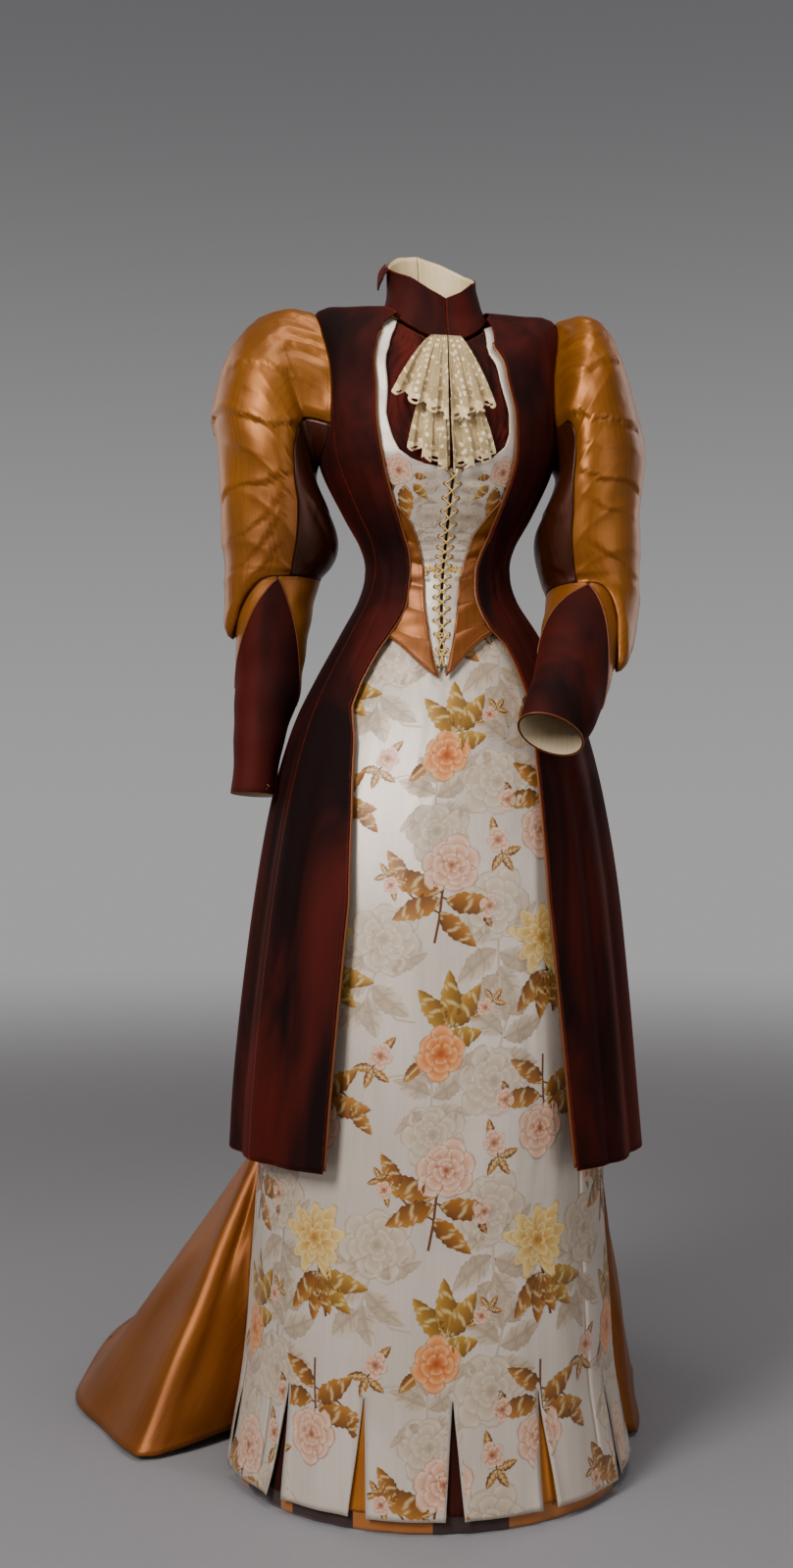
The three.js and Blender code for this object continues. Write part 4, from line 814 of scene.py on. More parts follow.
def stem(corners, width, tones, lift=0.3):
    corners = np.array(corners, float)
    share = np.linspace(0, len(corners) - 1, 6 * (len(corners) - 1) + 1)
    line = np.stack([np.interp(share, np.arange(len(corners)), corners[:, k]) for k in (0, 1)], -1)
    run = np.gradient(line, axis=0)
    across = np.stack([-run[:, 1], run[:, 0]], -1)
    across /= np.linalg.norm(across, axis=-1, keepdims=True)
    sides = np.array([-0.5, 0, 0.5])
    points = line[:, None, :] + across[:, None, :] * (sides * width)[None, :, None]
    colour = shades(tones, np.broadcast_to([0.1, 0.6, 0.3], points.shape[:2]))
    return points, colour, lift


def bloom(at, angle, size, tones, petals, point=0.0, lift=0.4):
    """A full flower seen half from the side: rings of petals, each nearer the heart."""
    made = []
    for ring, (count, reach, wide) in enumerate(petals):
        for k in range(count):
            way = angle + 360.0 / count * (k + 0.5 * (ring % 2)) + 7 * math.sin(3 * k + ring)
            grow = reach * (1 + 0.12 * math.sin(2.1 * k + ring))
            made.append(petal(at, way, size * grow, size * wide, tones, lift + 0.07 * ring, point))
    return made


def rose_spray():
    made = [stem([(-4, -52), (0, -30), (2, -8), (6, 8)], 2.2, BROWN),
            stem([(2, -12), (24, -20), (40, -22)], 1.6, BROWN),
            stem([(0, -26), (-22, -14), (-34, -2)], 1.6, BROWN)]
    for at, angle, length, wide in (((2, -8), 158, 52, 21), ((2, -14), 196, 46, 19),
                                    ((4, -14), -12, 48, 19), ((0, -24), -50, 44, 17),
                                    ((-30, -2), 112, 34, 15)):
        made.append(leaf(at, angle, length, wide, LEAF))
    made += bloom((10, 16), 20, 27, ROSE, ((7, 1.0, 0.85), (6, 0.74, 0.62), (4, 0.46, 0.5),
                                           (3, 0.25, 0.35)))
    made += bloom((44, -20), -20, 11, ROSE, ((4, 1.0, 0.9), (3, 0.6, 0.6)))
    made.append(leaf((40, -26), -70, 14, 7, BROWN, teeth=3, cells=(10, 5)))
    return made


def peony_spray():
    made = [stem([(0, -44), (0, -20), (0, 0)], 2.4, BROWN)]
    for angle, length in ((-150, 44), (-118, 40), (-64, 42), (-30, 46), (-90, 34)):
        made.append(leaf((0, -8), angle, length, 17, LEAF if angle < -70 else OLIVE))
    made += bloom((0, 20), 0, 36, PEONY, ((9, 1.0, 0.55), (8, 0.78, 0.45), (6, 0.54, 0.38),
                                          (5, 0.3, 0.26)), point=0.6)
    return made


def coral_spray():
    made = [stem([(6, 44), (2, 16), (0, 0)], 2.0, BROWN), stem([(0, -6), (-16, -26)], 1.6, BROWN)]
    for at, angle, length in (((2, 12), 62, 46), ((2, 10), 98, 52), ((0, 8), 132, 44),
                              ((0, 0), 20, 34)):
        made.append(leaf(at, angle, length, 19, OLIVE))
    made += bloom((0, -12), 40, 24, CORAL, ((6, 1.0, 0.9), (5, 0.7, 0.65), (3, 0.42, 0.5)))
    made.append(leaf((-12, -22), -128, 26, 11, LEAF, cells=(16, 7)))
    return made


def bud_spray():
    made = [stem([(0, -26), (-2, -10), (2, 4)], 1.6, BROWN)]
    made += bloom((2, 8), 10, 13, ROSE, ((5, 1.0, 0.85), (4, 0.62, 0.6)))
    for angle in (-160, -95, -20, 60):
        made.append(leaf((0, -6 if angle < 0 else 12), angle, 21, 9, LEAF, teeth=4, cells=(14, 7)))
    return made


def damask_spray():
    made = [stem([(-8, -96), (-4, -50), (0, -20)], 3.0, DAMASK, 0.12),
            stem([(-4, -50), (38, -78), (62, -76)], 2.4, DAMASK, 0.12)]
    for at, angle, length in (((-4, -40), 205, 62), ((-2, -44), -32, 60), ((0, -20), 168, 58),
                              ((-6, -70), 228, 46), ((-4, -60), -70, 50), ((2, -16), 18, 60)):
        made.append(leaf(at, angle, length, 30, DAMASK, 0.16, cells=(18, 7)))
    made += bloom((0, 14), 0, 50, DAMASK, ((7, 1.0, 0.72), (6, 0.74, 0.55), (5, 0.48, 0.42),
                                           (4, 0.26, 0.3)), lift=0.2)
    return made


def embroider(name, patches, surface, material, hole=None):
    """Lays flat patches of millimetres on a cloth surface as one mesh with thread colours.
    Where hole(x, y) is true there is no cloth, so the floats are cut there."""
    flat = np.concatenate([patch.reshape(-1, 2) for patch, _, _ in patches])
    colours = np.concatenate([colour.reshape(-1, 3) for _, colour, _ in patches])
    lift = np.concatenate([np.full(patch.shape[0] * patch.shape[1], high)
                           for patch, _, high in patches])
    faces, start = [], 0
    for patch, _, _ in patches:
        columns, rows = patch.shape[:2]
        ids = np.arange(columns * rows).reshape(columns, rows) + start
        faces.append(np.stack([ids[:-1, :-1], ids[1:, :-1], ids[1:, 1:], ids[:-1, 1:]], -1)
                     .reshape(-1, 4))
        start += columns * rows
    faces = np.concatenate(faces)
    if hole is not None:
        faces = faces[~hole(flat[:, 0], flat[:, 1])[faces].any(axis=1)]
        used = np.unique(faces)
        again = np.zeros(len(flat), int)
        again[used] = np.arange(len(used))
        flat, colours, lift, faces = flat[used], colours[used], lift[used], again[faces]
    place, normal = surface(flat[:, 0], flat[:, 1])
    points = place + normal * lift[:, None]
    piece = mesh_piece(name, points, faces, flat[faces] / 1000, (material,))
    dyed = piece.data.attributes.new("thread", "FLOAT_COLOR", "POINT")
    rgba = np.concatenate([colours, np.ones((len(colours), 1))], 1)
    dyed.data.foreach_set("color", rgba.astype(np.float32).ravel())
    return piece


def thread_cloth(name, shine, metal):
    """Brocading silk: loose floats in the spray's dyed colours."""
    material, tree = new_material(name)
    cloth = cloth_place(tree)
    dyed = add(tree, "Attribute", attribute_name="thread").outputs["Color"]
    weave = place_group(tree, WEAVE, {"Cloth": cloth, "Across": 900.0, "Down": 500.0,
                                      "Slub": 1.0})
    shade = calc(tree, "MULTIPLY_ADD", weave["Slub"], 0.8, 0.5, clamp=True)
    tone = blend(tree, calc(tree, "MULTIPLY", shade, 0.4), dyed, (0.0, 0.0, 0.0, 1), "MULTIPLY")
    bump = add(tree, "Bump", {"Strength": 0.5, "Distance": 0.0005, "Height": weave["Height"]})
    shader = add(tree, "BsdfPrincipled", {
        "Base Color": tone, "Roughness": shine, "Metallic": metal, "Normal": bump.outputs[0],
        "Specular IOR Level": 0.4, "Sheen Weight": 0.2, "Sheen Roughness": 0.4})
    finish_material(tree, shader)
    return material


flower_silk = thread_cloth("flower_silk", 0.42, 0.12)
damask_silk = thread_cloth("damask_silk", 0.36, 0.25)


def on_bodice(centre_turn, centre_v):
    """Flat millimetres round a point of the bodice: x to the wearer's left, y up."""
    fine = np.linspace(0.6, 11, 900)
    run = coat_form(np.full_like(fine, centre_turn), fine)
    down = np.concatenate([[0], np.cumsum(np.linalg.norm(np.diff(run, axis=0), axis=1))])
    zero = np.interp(centre_v, fine, down)

    def surface(x, y):
        v = np.interp(zero - y, down, fine)
        turn = centre_turn + degrees_of(x, v)
        return bodice_cloth(turn, v)
    return surface


def mirrored(patches):
    return [(flat * np.array([-1, 1]), colour, lift) for flat, colour, lift in patches]


for side, word in ((-1, "right"), (1, "left")):
    centre = along(LACING_LINE, 5.6) + side * 25
    rose = bloom((-8, 27), 30, 19, ROSE, ((7, 1.0, 0.85), (6, 0.72, 0.62), (4, 0.45, 0.5)))
    rose += bloom((-24, 34), 100, 11, ROSE, ((5, 1.0, 0.9), (3, 0.6, 0.6)))
    for at, angle, length, wide, tones in (
            ((-2, 10), -104, 42, 20, LEAF), ((-14, 14), -150, 30, 11, BROWN),
            ((8, 12), -60, 24, 12, OLIVE), ((10, 22), -20, 16, 9, LEAF), ((-26, 20), 190, 18, 9, BROWN)):
        rose.append(leaf(at, angle, length, wide, tones))
    patches = mirrored(rose) if side > 0 else rose
    spray = embroider("bodice_rose_" + word, patches, on_bodice(centre, 5.75), flower_silk)
    band = []
    for k in range(4):
        at = (side * (2 + 7 * k), 3 * math.sin(k * 2.0))
        band.append(leaf(at, 35 + 110 * (k % 2), 11, 5, (OLIVE, LEAF, BROWN)[k % 3], teeth=3,
                         cells=(9, 5)))
        band += bloom((at[0], at[1] + 4), 20 * k, 4.0, PEONY, ((5, 1.0, 0.8),))
    sprig = embroider("bodice_band_" + word, band,
                      on_bodice(along(LACING_LINE, 8.2) + side * 5.5, 8.25), flower_silk)
    figures = []
    for at, grow in (((side * 26, 6), 0.34), ((side * 24, -34), 0.3), ((side * 30, 46), 0.3)):
        figures += [(flat * grow + np.array(at), colour, lift * 0.5)
                    for flat, colour, lift in damask_spray()]
    damask = embroider("bodice_damask_" + word, figures,
                       on_bodice(along(LACING_LINE, 6.8), 6.6), damask_silk)
    piece, size = bodice_pieces[side]
    for extra in (spray, sprig, damask):
        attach(extra, "root")
    dress(piece, size, ["bodice_front_" + word])

# ---- The plastron and the placket ----
# A bib of russet velvet gathered in fine ridges from the collar down to the neckline, and a
# strip of brown twill behind the lacing.
plastron_velvet = velvet_cloth("plastron_velvet", srgb(34, 6, 3), srgb(92, 20, 9),
                               srgb(186, 74, 40), 22.0, 0.6)
placket_twill = satin_cloth("placket_twill", srgb(38, 16, 6), srgb(70, 34, 14), 0.7, 0.0, 900.0)


def plastron_cloth(turn, v):
    points, normal = coat_at(turn, v, PLASTRON_DEPTH)
    middle = along(np.array([[0.9, 0.0], [2.5, -3.0], [5.5, 1.5]]), v)
    width = np.interp(v, [0.9, 1.6, 2.6, 3.6, 4.6, 5.6], [17, 27, 31, 29, 22, 12])
    lane = (turn - middle) / width
    gather = np.cos(2 * np.pi * (6.5 * np.abs(lane) + 0.35 * np.sin(2.2 * v + 3 * lane)))
    sharp = np.sign(gather) * np.abs(gather) ** 1.4
    strength = np.clip(np.abs(lane) * 3, 0, 1) * np.interp(v, [0.9, 1.4, 5.5], [0.5, 1, 0.7])
    return points + normal * (1.5 * sharp * strength)[..., None], normal


share = np.linspace(0, 1, 97)[:, None]
level = even_levels(coat_form, 0, 0.9, 5.5, 3.0)[None, :]
start = np.minimum(along(YOKE_EDGE[-1], np.minimum(level, 4.2)) - 6, -30)
end = np.maximum(along(YOKE_EDGE[1], np.minimum(level, 4.2)) + 6, 28)
turn = mix(start, end, share)
v = under_collar(level, collar_level(turn[:, :1]) + 0.1, 2.11)
face, guide = plastron_cloth(turn, v)
piece, size = sew("gathered_plastron", face, guide, VELVET, plastron_velvet, cotton)
dress(piece, size, ["plastron"], gather=(1.15, 1.0))

v = np.linspace(5.2, 10.3, 60)[None, :] + np.zeros((5, 1))
turn = along(LACING_LINE, v) + np.linspace(-1, 1, 5)[:, None] * degrees_of(9, v)
face, guide = coat_at(turn, v, PLASTRON_DEPTH - 1.2)
piece, size = sew("twill_placket", face, guide, 1.2, placket_twill, cotton)
dress(piece, size, ["lacing_placket"])

# ---- The lacing: worked eyelets and a yellow silk cord ----
# Seventeen rows of eyelets, each a ring oversewn with silk round a dark disc that stands for the hole:
# painted shade. The cord crosses the gap from row to row, over and under itself, and ends in two small
# loops at the point.
ROWS = 17
CORD_RADIUS = 1.0


def lacing_level(row):
    return mix(5.18, 10.78, row / (ROWS - 1))


def lacing_reach(row):
    return np.minimum(9, 3.5 + (ROWS - 1 - row) * 2.4)


def tube(path, radius, sides=8, closed=False, taper=False):
    """Points and faces of a round cord along a path of points."""
    path = np.asarray(path, float)
    run = unit(np.gradient(path, axis=0) if not closed
               else np.roll(path, -1, 0) - np.roll(path, 1, 0))
    side = unit(np.cross(run, np.array([0.03, 0.99, 0.05])))
    up = np.cross(side, run)
    a = np.linspace(0, 2 * np.pi, sides, endpoint=False)
    wide = np.full(len(path), radius)
    if taper:
        wide[0] = wide[-1] = radius * 0.3
    ring = (np.cos(a)[None, :, None] * side[:, None, :] + np.sin(a)[None, :, None] * up[:, None, :])
    points = path[:, None, :] + ring * wide[:, None, None]
    count = len(path)
    i = np.arange(count if closed else count - 1)[:, None]
    j = np.arange(sides)[None, :]
    nxt, ahead = (j + 1) % sides, (i + 1) % count
    faces = np.stack([i * sides + j, i * sides + nxt, ahead * sides + nxt, ahead * sides + j], -1)
    distance = np.concatenate([[0], np.cumsum(np.linalg.norm(np.diff(path, axis=0), axis=1))])
    uv = np.stack(np.broadcast_arrays(a[None, :] * radius, distance[:, None]), -1)
    return points.reshape(-1, 3), faces.reshape(-1, 4), uv.reshape(-1, 2)


def bundle(name, tubes, material):
    """Several tubes as one mesh."""
    points, faces, uvs, start = [], [], [], 0
    for p, f, uv in tubes:
        points.append(p)
        faces.append(f + start)
        uvs.append(uv[f])
        start += len(p)
    return mesh_piece(name, np.concatenate(points), np.concatenate(faces),
                      np.concatenate(uvs), (material,))


def silk_cord(name, deep, lit, twist=420.0, shine=0.45):
    """Twisted silk: slanting plies along the cord, painted lighter on their crests and darker between
    them as painted highlight and painted shade.
    """
    material, tree = new_material(name)
    cloth = cloth_place(tree)
    split = add(tree, "SeparateXYZ", {0: cloth})
    ply = calc(tree, "SINE", calc(tree, "MULTIPLY_ADD", split.outputs[0], twist * 2.0,
                                  calc(tree, "MULTIPLY", split.outputs[1], twist * 6.2832)))
    # Each ply is painted lighter on its crest and darker in its groove: painted highlight and shade.
    shade = calc(tree, "MULTIPLY_ADD", ply, 0.4, 0.5, clamp=True)
    tone = blend(tree, shade, deep, lit)
    bump = add(tree, "Bump", {"Strength": 0.6, "Distance": 0.0004, "Height": ply})
    shader = add(tree, "BsdfPrincipled", {
        "Base Color": tone, "Roughness": shine, "Metallic": 0.1, "Normal": bump.outputs[0],
        "Sheen Weight": 0.2})
    finish_material(tree, shader)
    return material


yellow_cord = silk_cord("yellow_cord", srgb(170, 122, 40), srgb(236, 204, 112))
eyelet_silk = silk_cord("eyelet_silk", srgb(84, 50, 22), srgb(146, 100, 50), 700.0)
# A near-black disc in each eyelet stands for the hole and the shade inside it: painted shade.
eyelet_shade_disc, tree = new_material("eyelet_shade_disc")
depth = add(tree, "TexNoise", {"Scale": 400.0})
finish_material(tree, add(tree, "BsdfPrincipled", {
    "Base Color": blend(tree, depth.outputs[0], srgb(16, 7, 3), srgb(46, 22, 10)),
    "Roughness": 0.9}))


def bodice_top(turn, v, lift):
    points, normal = bodice_cloth(np.asarray(turn, float), np.asarray(v, float))
    return points + normal * lift


rims, hole_shadows = [], []
for row in range(ROWS):
    v = lacing_level(row)
    for side in (-1, 1):
        turn = float(along(LACING_LINE, v) + side * degrees_of(lacing_reach(row), v))
        centre, normal = bodice_cloth(np.array(turn), np.array(v))
        right = unit(np.cross(normal, [0, 0, 1.0]))
        up = np.cross(right, normal)
        a = np.linspace(0, 2 * np.pi, 18, endpoint=False)[:, None]
        spoke = np.cos(a) * right + np.sin(a) * up
        rims.append(tube(centre + normal * 0.5 + spoke * (2.0 + 0.12 * np.sin(3 * a + row)), 0.62,
                         6, closed=True))
        # The disc is that painted shade of the hole.
        disc = np.concatenate([spoke * 0.2, spoke * 1.75]) + centre + normal * 0.35
        k = np.arange(18)
        faces = np.stack([k, (k + 1) % 18, 18 + (k + 1) % 18, 18 + k], -1)
        hole_shadows.append((disc, faces, np.zeros((36, 2))))
rim_piece = bundle("eyelet_rims", rims, eyelet_silk)
hole_shadow_piece = bundle("eyelet_hole_shadows", hole_shadows, eyelet_shade_disc)

laced = []
for first in (-1, 1):
    path = []
    for row in range(ROWS):
        side = -first if row % 2 else first
        v = lacing_level(row)
        turn = along(LACING_LINE, v) + side * degrees_of(lacing_reach(row), v)
        inner = along(LACING_LINE, v) + side * degrees_of(lacing_reach(row) * 0.55, v + 0.05)
        over = 2.2 if first > 0 else 0.9
        if row:
            path.append((inner, v - 0.05, 1.6))
        path.append((turn, v, 0.5))
        if row < ROWS - 1:
            path.append((inner, v + 0.07, 1.6))
            half = lacing_level(row + 0.5)
            path.append((along(LACING_LINE, half), half, 1.4 + over))
    knots = np.array([bodice_top(t, v, rise) for t, v, rise in path])
    laced.append(tube(smooth_rows(knots, np.linspace(0, len(knots) - 1, 6 * len(knots))),
                      CORD_RADIUS))
cord_pieces = []
for (word, node), made in zip((("right", "lacing_cord_right"), ("left", "lacing_cord_left")), laced):
    piece = bundle("silk_lacing_" + word, [made], yellow_cord)
    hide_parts(node)
    cord_pieces.append(piece)
loops = []
for row, side, wide, drop in ((15.2, -1, 7, 5), (15.2, 1, 7, 5), (14.1, -1, 6, 3), (14.1, 1, 6, 3)):
    v = lacing_level(row)
    centre, normal = bodice_cloth(along(LACING_LINE, v) + np.zeros(1), np.array([v]))
    a = np.linspace(0, 2 * np.pi, 26)[:, None]
    x = side * wide * (1 - np.cos(a)) * 0.62
    z = -drop * np.sin(a) * 0.75 - 0.2 * wide * (1 - np.cos(a))
    loops.append(tube(centre[0] + x * np.array([1, 0, 0]) + z * np.array([0, 0, 1])
                      + normal[0] * (3.4 + 1.2 * np.sin(a / 2)), 0.8, taper=True))
ends = bundle("lacing_loops", loops, yellow_cord)
for piece in (rim_piece, hole_shadow_piece, ends, *cord_pieces):
    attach(piece, "root")

# ---- The girdle: copper satin pleated across the waist ----
# A shaped band of satin in soft level pleats over the lower bodice, open in a long V for the
# lacing, with a corded lower edge that comes to a point.
GIRDLE_DEPTH, SATIN = 4.6, 1.5
STOMACHER = {
    -1: np.array([[5.78, -36], [6.47, -25], [7.05, -21], [8.04, -16.5], [8.54, -15], [9.35, -12],
                  [10.13, -8], [10.57, -5.5], [11.05, -2]]),
    1: np.array([[5.72, 36.5], [6.25, 29], [6.81, 22], [7.4, 19.5], [7.92, 17], [8.4, 13.5],
                 [9.07, 11], [9.94, 6.5], [10.4, 4], [11.05, 0.5]]),
}
girdle_satin = satin_cloth("girdle_satin", srgb(82, 38, 6), srgb(146, 82, 18), 0.38, 0.5)
brown_thread = silk_cord("brown_thread", srgb(96, 54, 20), srgb(160, 104, 50), 600.0)


def girdle_cloth(turn, v):
    points, normal = coat_at(turn, v, GIRDLE_DEPTH)
    slope = v + 0.012 * np.abs(turn)
    pleat = (np.abs(np.sin(slope * 4.3 + 0.5 * np.sin(turn * 0.09))) ** 0.6) * 2.2 - 1.2
    pleat += 0.4 * np.sin(slope * 11 + turn * 0.2)
    inside = np.clip((v - 5.85) * 1.2, 0, 1)
    return points + normal * (pleat * inside * 0.9)[..., None], normal


def edge_cord(name, path, radius, material):
    piece = bundle(name, [tube(path, radius, 6)], material)
    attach(piece, "root")
    return piece


for side, word in ((-1, "right"), (1, "left")):
    level = even_levels(coat_form, 20, 5.85, 11, 1.8)[None, :]
    share = np.linspace(0, 1, 41)[:, None]
    outer = side * 60.0
    target = mix(outer, along(STOMACHER[side], 11), share)
    end = along(GIRDLE_LOW[side], target)
    v = np.where(level <= 9, level, mix(9, end, (level - 9) / 2))
    turn = mix(outer, along(STOMACHER[side], v), share)
    face, guide = girdle_cloth(turn, v)
    piece, size = sew("pleated_girdle_" + word, face, guide, SATIN, girdle_satin, cotton)
    low = coat_at(turn[:, -1], v[:, -1] + 0.03, GIRDLE_DEPTH + 0.4)[0]
    trim = edge_cord("girdle_cord_" + word, low, 1.1, girdle_satin)
    rim = coat_at(turn[-1], v[-1], GIRDLE_DEPTH - 0.3)[0]
    line = edge_cord("stomacher_thread_" + word, rim, 0.5, brown_thread)
    dress(piece, size, ["girdle_" + word], gather=(1.0, 1.2))

# ---- The stand collar ----
# Two velvet halves seamed at centre front and nape, rising high behind the neck and lined with
# cream silk. At the wearer's right one corner of the rim has turned down.
COLLAR_RIM = np.array([
    [-180, 1481], [-150, 1476], [-110, 1456], [-70, 1440], [-45, 1431], [-20, 1415], [0, 1405],
    [20, 1414], [45, 1429], [70, 1437], [110, 1452], [150, 1472], [180, 1481]]) - [0, SHOULDER]
COLLAR_MIDDLE = np.array([-12.0, 6.0, 0.0])
cream_silk = satin_cloth("cream_silk", srgb(176, 150, 106), srgb(224, 202, 158), 0.5, 0.0)


def collar_form(turn, share, depth):
    turn, share = np.broadcast_arrays(np.asarray(turn, float), np.asarray(share, float))
    foot = coat_at(turn, collar_level(turn), PLASTRON_DEPTH - 3)[0]
    a, tilt = np.radians(turn), math.radians(19)
    across, deep = 55 * np.sin(a), -52 * np.cos(a)
    rim = np.stack([-12 + across * math.cos(tilt) - deep * math.sin(tilt),
                    6 + across * math.sin(tilt) + deep * math.cos(tilt),
                    along(COLLAR_RIM, turn)], -1)
    p = foot + (rim - foot) * share[..., None]
    out = unit((p - COLLAR_MIDDLE) * [1, 1, 0])
    ease = -2.5 * np.sin(np.pi * share) - depth
    ease = ease + 0.5 * np.sin(share * 9 + turn * 0.05) * np.sin(np.pi * share)
    return p + out * ease[..., None], out


for side, word in ((-1, "right"), (1, "left")):
    face, guide = collar_form(side * np.linspace(0.25, 179.75, 81)[:, None],
                              np.linspace(0, 1, 25)[None, :], 0)
    piece, size = sew("velvet_collar_" + word, face, guide, VELVET, coat_velvet, cream_silk)
    dress(piece, size, ["collar_" + word])
face, guide = collar_form(np.linspace(-179.75, 179.75, 121)[:, None],
                          np.linspace(0.03, 0.97, 17)[None, :], VELVET + 0.7)
piece, size = sew("silk_collar_lining", face, guide, 1.0, cream_silk, cream_silk)
dress(piece, size, ["collar_lining"])

i, drop = np.linspace(0, 3, 25)[:, None], np.linspace(0, 1, 25)[None, :]
rim, out = collar_form(mix(-118, -82, i / 3) + 0 * drop, 1.0 + 0 * drop, 0)
rim = rim + out * (0.4 + 9 * np.sin(drop * np.pi / 2))[..., None]
point = 1 - np.abs(i - 1.4) / 2.4
rim[..., 2] += 1.5 - 26 * drop * point - 4 * drop
piece, size = sew("turned_corner", rim + out * VELVET, out, VELVET, coat_velvet, cream_silk)
dress(piece, size, ["collar_corner"])

# ---- The lace jabot ----
# Ecru needle lace gathered at the throat in two tiers on each side. The net carries small sprigs,
# and its scalloped lower edge is pierced with round eyes and finished with picots.
JABOT = {
    "upper_right": (-12, 6.4, 1356, -60, 6.4, 1282, 1248, 13),
    "upper_left": (7.6, 22, 1356, 7.6, 62, 1240, 1268, 13),
    "lower_right": (-26, 7.2, 1280, -42, 8.2, 1216, 1186, 7),
    "lower_left": (8.6, 42, 1276, 9.6, 62, 1186, 1206, 7),
}


def lace_cloth():
    material, tree = new_material("ecru_lace")
    place = add(tree, "TexCoord").outputs["Object"]
    cloth, edge = cloth_place(tree), edge_distance(tree)
    split = add(tree, "SeparateXYZ", {0: cloth})
    # Sprigs: small star flowers set in staggered rows, thick and pale.
    cells = add(tree, "TexVoronoi", {"Vector": cloth, "Scale": 95.0, "Randomness": 0.35})
    petals = add(tree, "TexVoronoi", {"Vector": cloth, "Scale": 340.0, "Randomness": 0.6})
    sprig = calc(tree, "LESS_THAN", calc(tree, "MULTIPLY_ADD", petals.outputs["Distance"], 0.22,
                                         cells.outputs["Distance"]), 0.40)
    # Net: fine meshes between the sprigs.
    net_x = calc(tree, "ABSOLUTE", calc(tree, "SINE", calc(tree, "MULTIPLY", split.outputs[0],
                                                           2300.0)))
    net_y = calc(tree, "ABSOLUTE", calc(tree, "SINE", calc(tree, "MULTIPLY", split.outputs[1],
                                                           2300.0)))
    mesh = calc(tree, "LESS_THAN", calc(tree, "MULTIPLY", net_x, net_y), 0.52)
    # Border: round eyes in a row of buttonhole stitches.
    scallop = add(tree, "Attribute", attribute_name="scallop").outputs["Vector"]
    eye = add(tree, "SeparateXYZ", {0: scallop})
    along_edge = calc(tree, "SUBTRACT", calc(tree, "FRACT", eye.outputs[0]), 0.5)
    rise = calc(tree, "MULTIPLY_ADD", eye.outputs[1], 1.0, -0.55)
    round_eye = calc(tree, "POWER", calc(tree, "ADD", calc(tree, "POWER", along_edge, 2.0),
                                         calc(tree, "POWER", rise, 2.0)), 0.5)
    hole = calc(tree, "LESS_THAN", round_eye, 0.24)
    border = calc(tree, "LESS_THAN", eye.outputs[1], 1.5)
    solid = calc(tree, "MAXIMUM", calc(tree, "MAXIMUM", sprig, mesh), border)
    solid = calc(tree, "SUBTRACT", solid, hole, clamp=True)
    cloud = add(tree, "TexNoise", {"Vector": place, "Scale": 30.0, "Detail": 4.0})
    tone = blend(tree, cloud.outputs[0], srgb(166, 134, 84), srgb(214, 186, 134))
    tone = blend(tree, calc(tree, "MULTIPLY", sprig, 0.75), tone, srgb(238, 218, 176))
    tone = blend(tree, calc(tree, "MULTIPLY", border, 0.35), tone, srgb(228, 202, 154))
    thread = add(tree, "TexNoise", {"Vector": cloth, "Scale": 2200.0, "Detail": 2.0})
    height = calc(tree, "ADD", calc(tree, "MULTIPLY", thread.outputs[0], 0.4),
                  calc(tree, "ADD", sprig, calc(tree, "MULTIPLY", border, 0.6)))
    bump = add(tree, "Bump", {"Strength": 0.5, "Distance": 0.0004, "Height": height})
    shader = add(tree, "BsdfPrincipled", {
        "Base Color": tone, "Roughness": 0.75, "Alpha": solid, "Normal": bump.outputs[0],
        "Sheen Weight": 0.2, "Sheen Roughness": 0.5})
    finish_material(tree, shader)
    return material


ecru_lace = lace_cloth()


def plastron_at(x, z, lift):
    """Point in front of the plastron that lies at a given x and z."""
    turn, v = np.zeros_like(x), np.full_like(x, 3.0)
    for _ in range(30):
        p = coat_at(turn, v, PLASTRON_DEPTH - lift)[0]
        a = coat_at(turn + 1, v, PLASTRON_DEPTH - lift)[0] - p
        b = coat_at(turn, v + 0.05, PLASTRON_DEPTH - lift)[0] - p
        det = a[..., 0] * b[..., 2] - b[..., 0] * a[..., 2]
        dx, dz = x - p[..., 0], z - p[..., 2]
        turn = np.clip(turn + 0.8 * (dx * b[..., 2] - b[..., 0] * dz) / det, -60, 60)
        v = np.clip(v + 0.04 * (a[..., 0] * dz - dx * a[..., 2]) / det, 0.6, 8)
    return coat_at(turn, v, PLASTRON_DEPTH - lift)[0]


